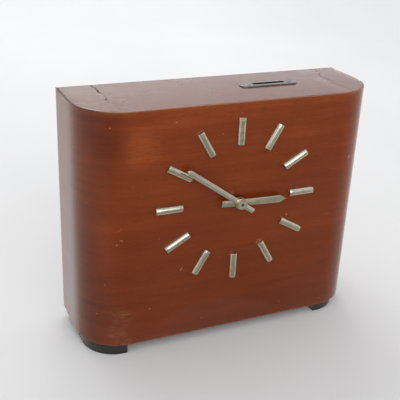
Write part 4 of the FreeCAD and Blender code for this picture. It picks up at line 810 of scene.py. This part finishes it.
# the bush's brass is near black: partly tarnish, partly painted shade of the shadowed hole behind the hands
m_bush = metal("dark_brass_and_painted_shade", ((0.060, 0.050, 0.032), (0.095, 0.080, 0.050), (0.150, 0.128, 0.085)), 0.42, (900.0, 900.0, 900.0), (0.03, 0.025, 0.018), 0.4)
m_plate = metal("slot_metal", ((0.20, 0.195, 0.175), (0.31, 0.30, 0.28), (0.44, 0.425, 0.405)), 0.22, (50.0, 2200.0, 2200.0),
                (0.055, 0.048, 0.042), 0.45)
m_screw = metal("screw_steel", ((0.26, 0.25, 0.235), (0.38, 0.37, 0.355), (0.50, 0.49, 0.47)), 0.32, (700.0, 700.0, 700.0),
                (0.09, 0.06, 0.04), 0.5)
m_fit = metal("brass_fittings", ((0.44, 0.29, 0.10), (0.60, 0.43, 0.18), (0.70, 0.54, 0.27)), 0.28, (900.0, 900.0, 120.0),
              (0.13, 0.085, 0.035), 0.5)
m_work = metal("movement_brass", ((0.55, 0.39, 0.14), (0.70, 0.52, 0.21), (0.78, 0.62, 0.30)), 0.24, (140.0, 1500.0, 1500.0),
               (0.22, 0.15, 0.06), 0.25)
m_steel = metal("steel", ((0.40, 0.40, 0.40), (0.52, 0.52, 0.52), (0.62, 0.62, 0.61)), 0.22, (1500.0, 200.0, 1500.0),
                (0.13, 0.10, 0.08), 0.3)
m_spring = metal("spring_steel", ((0.10, 0.12, 0.20), (0.17, 0.20, 0.30), (0.26, 0.28, 0.36)), 0.24, (900.0, 120.0, 900.0),
                 (0.12, 0.09, 0.09), 0.3)
m_plain = raw_wood("plain_wood", (0.50, 0.33, 0.17), (0.28, 0.16, 0.070), 0.55, 0)
m_panel = raw_wood("panel_wood", (0.200, 0.085, 0.036), (0.085, 0.032, 0.014), 0.42, 2)
m_base = raw_wood("base_wood", (0.190, 0.068, 0.026), (0.080, 0.026, 0.011), 0.46, 0)
m_black = black_lacquer("black_lacquer")

LOOKS = {
    m_plain: ["front_board", "divider_board", "back_cleats"],
    m_base: ["bottom_board"],
    m_panel: ["back_panel", "money_door"],
    m_black: ["foot_left", "foot_right"],
    m_plate: ["coin_slot_plate"],
    m_screw: ["back_panel_screws", "foot_screws", "slot_plate_screws", "movement_screws"],
    m_fit: ["hinge_leaves_case", "hinge_leaves_door", "hinge_pins", "hinge_screws_case", "hinge_screws_door",
            "lock_housing", "lock_plug", "lock_cam", "winding_key", "set_knob"],
    m_hour: ["hour_hand"],
    m_minute: ["minute_hand"],
    m_hub: ["minute_hand_collet"],
    m_bush: ["dial_bush"],
    m_work: ["movement_front_plate", "movement_back_plate", "spring_barrel", "barrel_cover", "ratchet_wheel", "centre_wheel",
             "third_wheel", "fourth_wheel", "escape_wheel", "balance_wheel", "minute_wheel", "hour_wheel"],
    m_steel: ["plate_pillars", "pillar_nuts", "barrel_arbor", "winding_click", "pallet_lever", "hand_arbor"],
    m_spring: ["mainspring", "click_spring", "hairspring"],
}
for m, names in LOOKS.items():
    for n in names:
        o = NODES[n]
        if o.material_slots:
            for slot in o.material_slots:
                slot.material = m
        else:
            o.data.materials.append(m)

BEVELS = {
    "foot_left": 0.6, "foot_right": 0.6, "coin_slot_plate": 0.10, "slot_plate_screws": 0.10,
    "money_door": 0.5, "back_panel_screws": 0.18, "hinge_leaves_case": 0.12, "hinge_leaves_door": 0.12, "hinge_pins": 0.2,
    "hinge_screws_case": 0.12, "hinge_screws_door": 0.12, "lock_housing": 0.25, "lock_plug": 0.15, "winding_key": 0.35,
    "set_knob": 0.25, "hour_hand": 0.07, "minute_hand": 0.07, "minute_hand_collet": 0.14, "dial_bush": 0.12,
    "bottom_board": 0.3, "foot_screws": 0.2,
}
for n, width in BEVELS.items():
    o = NODES[n]
    w = o.modifiers.new("join", "WELD")
    w.merge_threshold = 0.000002
    b = o.modifiers.new("soft_edge", "BEVEL")
    b.width = width * MM
    b.segments = 3 if width > 0.15 else 2
    b.limit_method = "ANGLE"
    b.angle_limit = math.radians(28)
    b.use_clamp_overlap = True
    b.harden_normals = False
    wn = o.modifiers.new("face_normals", "WEIGHTED_NORMAL")
    wn.keep_sharp = False
    wn.weight = 80


# ------------------------------------------------------------ floor and light
def make_floor():
    """Pale seamless sweep, flat under the clock and turned up all round."""
    prof = [(0.0, 0.0)] + [(0.25 * k, 0.0) for k in range(1, 6)]
    prof += [(1.25 + 0.75 * math.sin(a), 0.75 * (1 - math.cos(a))) for a in np.linspace(0.08, math.pi / 2, 18)]
    prof += [(2.0, 1.1), (2.0, 1.5)]
    seg = 96
    verts, faces = [(0, 0, 0)], []
    for r, h in prof[1:]:
        for k in range(seg):
            a = 2 * math.pi * k / seg
            verts.append((r * math.cos(a) * 1000, r * math.sin(a) * 1000, h * 1000))
    for k in range(seg):
        faces.append((0, 1 + k, 1 + (k + 1) % seg))
    for i in range(len(prof) - 2):
        p, q = 1 + i * seg, 1 + (i + 1) * seg
        for k in range(seg):
            k2 = (k + 1) % seg
            faces.append((p + k, q + k, q + k2, p + k2))
    ob = build("floor_sweep", verts, faces, 60)
    s = Shade("pale_paper")
    vec = s.obj()
    tone = s.noise(vec, 3.0, 3.0, 0.5)
    fine = s.noise(vec, 900.0, 2.0, 0.5)
    paper = s.ramp(tone, [(0.3, (0.805, 0.807, 0.815)), (0.7, (0.835, 0.837, 0.845))])
    s.set(Base_Color=paper, Roughness=s.add(0.62, s.mul(fine, 0.1)))
    s.b.inputs["Specular IOR Level"].default_value = 0.2
    ob.data.materials.append(s.m)
    return ob


make_floor()


def area(name, place, aim, size, power, colour=(1, 1, 1)):
    d = bpy.data.lights.new(name, "AREA")
    d.shape = "RECTANGLE"
    d.size, d.size_y = size
    d.energy = power
    d.color = colour
    o = bpy.data.objects.new(name, d)
    o.location = place
    o.rotation_mode = "QUATERNION"
    o.rotation_quaternion = (Vector(aim) - Vector(place)).to_track_quat("-Z", "Y")
    bpy.context.scene.collection.objects.link(o)
    return o


area("back_softbox", (0.05, 1.25, 1.45), (0.10, 0.45, 0.0), (1.3, 1.1), 11.5)
area("front_softbox", (-0.15, -1.45, 0.95), (0.0, 0.0, 0.08), (1.4, 0.9), 8.0)


def reflector():
    """Plain card that the polished faces mirror: dim in front, brighter towards
    both sides. It is there for mirror rays only."""
    verts, faces = [], []
    angles = np.linspace(math.radians(-250), math.radians(70), 107)
    rings = [(0.075, 0.0015), (0.13, 0.0015), (0.2, 0.0015), (0.3, 0.0015), (0.5, 0.0015), (0.9, 0.0015), (1.5, 0.0015), (1.55, 0.12),
             (1.6, 0.42)]
    for r, h in rings:
        for a in angles:
            verts.append((r * math.cos(a) * 1000, (r * math.sin(a) - 0.01) * 1000, h * 1000))
    n = len(angles)
    for i in range(len(rings) - 1):
        for k in range(n - 1):
            faces.append((i * n + k, (i + 1) * n + k, (i + 1) * n + k + 1, i * n + k + 1))
    ob = build("mirror_card", verts, faces, 60)
    s = Shade("mirror_card")
    vec = s.obj()
    x, y, z = s.split(vec)
    turn = s.math("ABSOLUTE", s.math("ARCTAN2", x, s.mul(y, -1.0)))
    level = s.span(turn, 0.4, 2.1, 0.30, 1.0)
    e = s.t.nodes.new("ShaderNodeEmission")
    s.put(e.inputs["Color"], s.ramp(s.mul(level, 0.5), [(0.0, (0.0, 0.0, 0.0)), (0.2, (0.20, 0.19, 0.165)), (0.45, (0.45, 0.445, 0.43)), (1.0, (1.0, 1.0, 0.99))]))
    e.inputs["Strength"].default_value = 2.0
    s.t.links.new(e.outputs[0], s.out.inputs["Surface"])
    ob.data.materials.append(s.m)
    ob.visible_camera = ob.visible_diffuse = ob.visible_shadow = ob.visible_transmission = ob.visible_volume_scatter = False


reflector()

world = bpy.data.worlds.new("studio")
bpy.context.scene.world = world
world.use_nodes = True
bg = world.node_tree.nodes["Background"]
bg.inputs["Color"].default_value = (1.0, 1.0, 1.0, 1.0)
bg.inputs["Strength"].default_value = 0.68

# --------------------------------------------------------------------- camera
yaw, pitch, roll = 0.4351, 0.4222, 0.0462
d = Vector((math.sin(yaw) * math.cos(pitch), math.cos(yaw) * math.cos(pitch), -math.sin(pitch)))
right = Vector((math.cos(yaw), -math.sin(yaw), 0.0))
up = right.cross(d)
r2 = right * math.cos(roll) + up * math.sin(roll)
u2 = up * math.cos(roll) - right * math.sin(roll)
cam_data = bpy.data.cameras.new("camera")
cam_data.sensor_width = 36.0
cam_data.lens = 738.1 / 400.0 * 36.0
cam_data.clip_start, cam_data.clip_end = 0.01, 50.0
cam = bpy.data.objects.new("camera", cam_data)
m3 = Matrix((r2, u2, -d)).transposed()
cam.matrix_world = Matrix.Translation((-0.25265, -0.50930, 0.36228)) @ m3.to_4x4()
bpy.context.scene.collection.objects.link(cam)
bpy.context.scene.camera = cam
bpy.context.scene.view_settings.view_transform = "Standard"
bpy.context.scene.view_settings.look = "None"

bpy.context.view_layer.update()
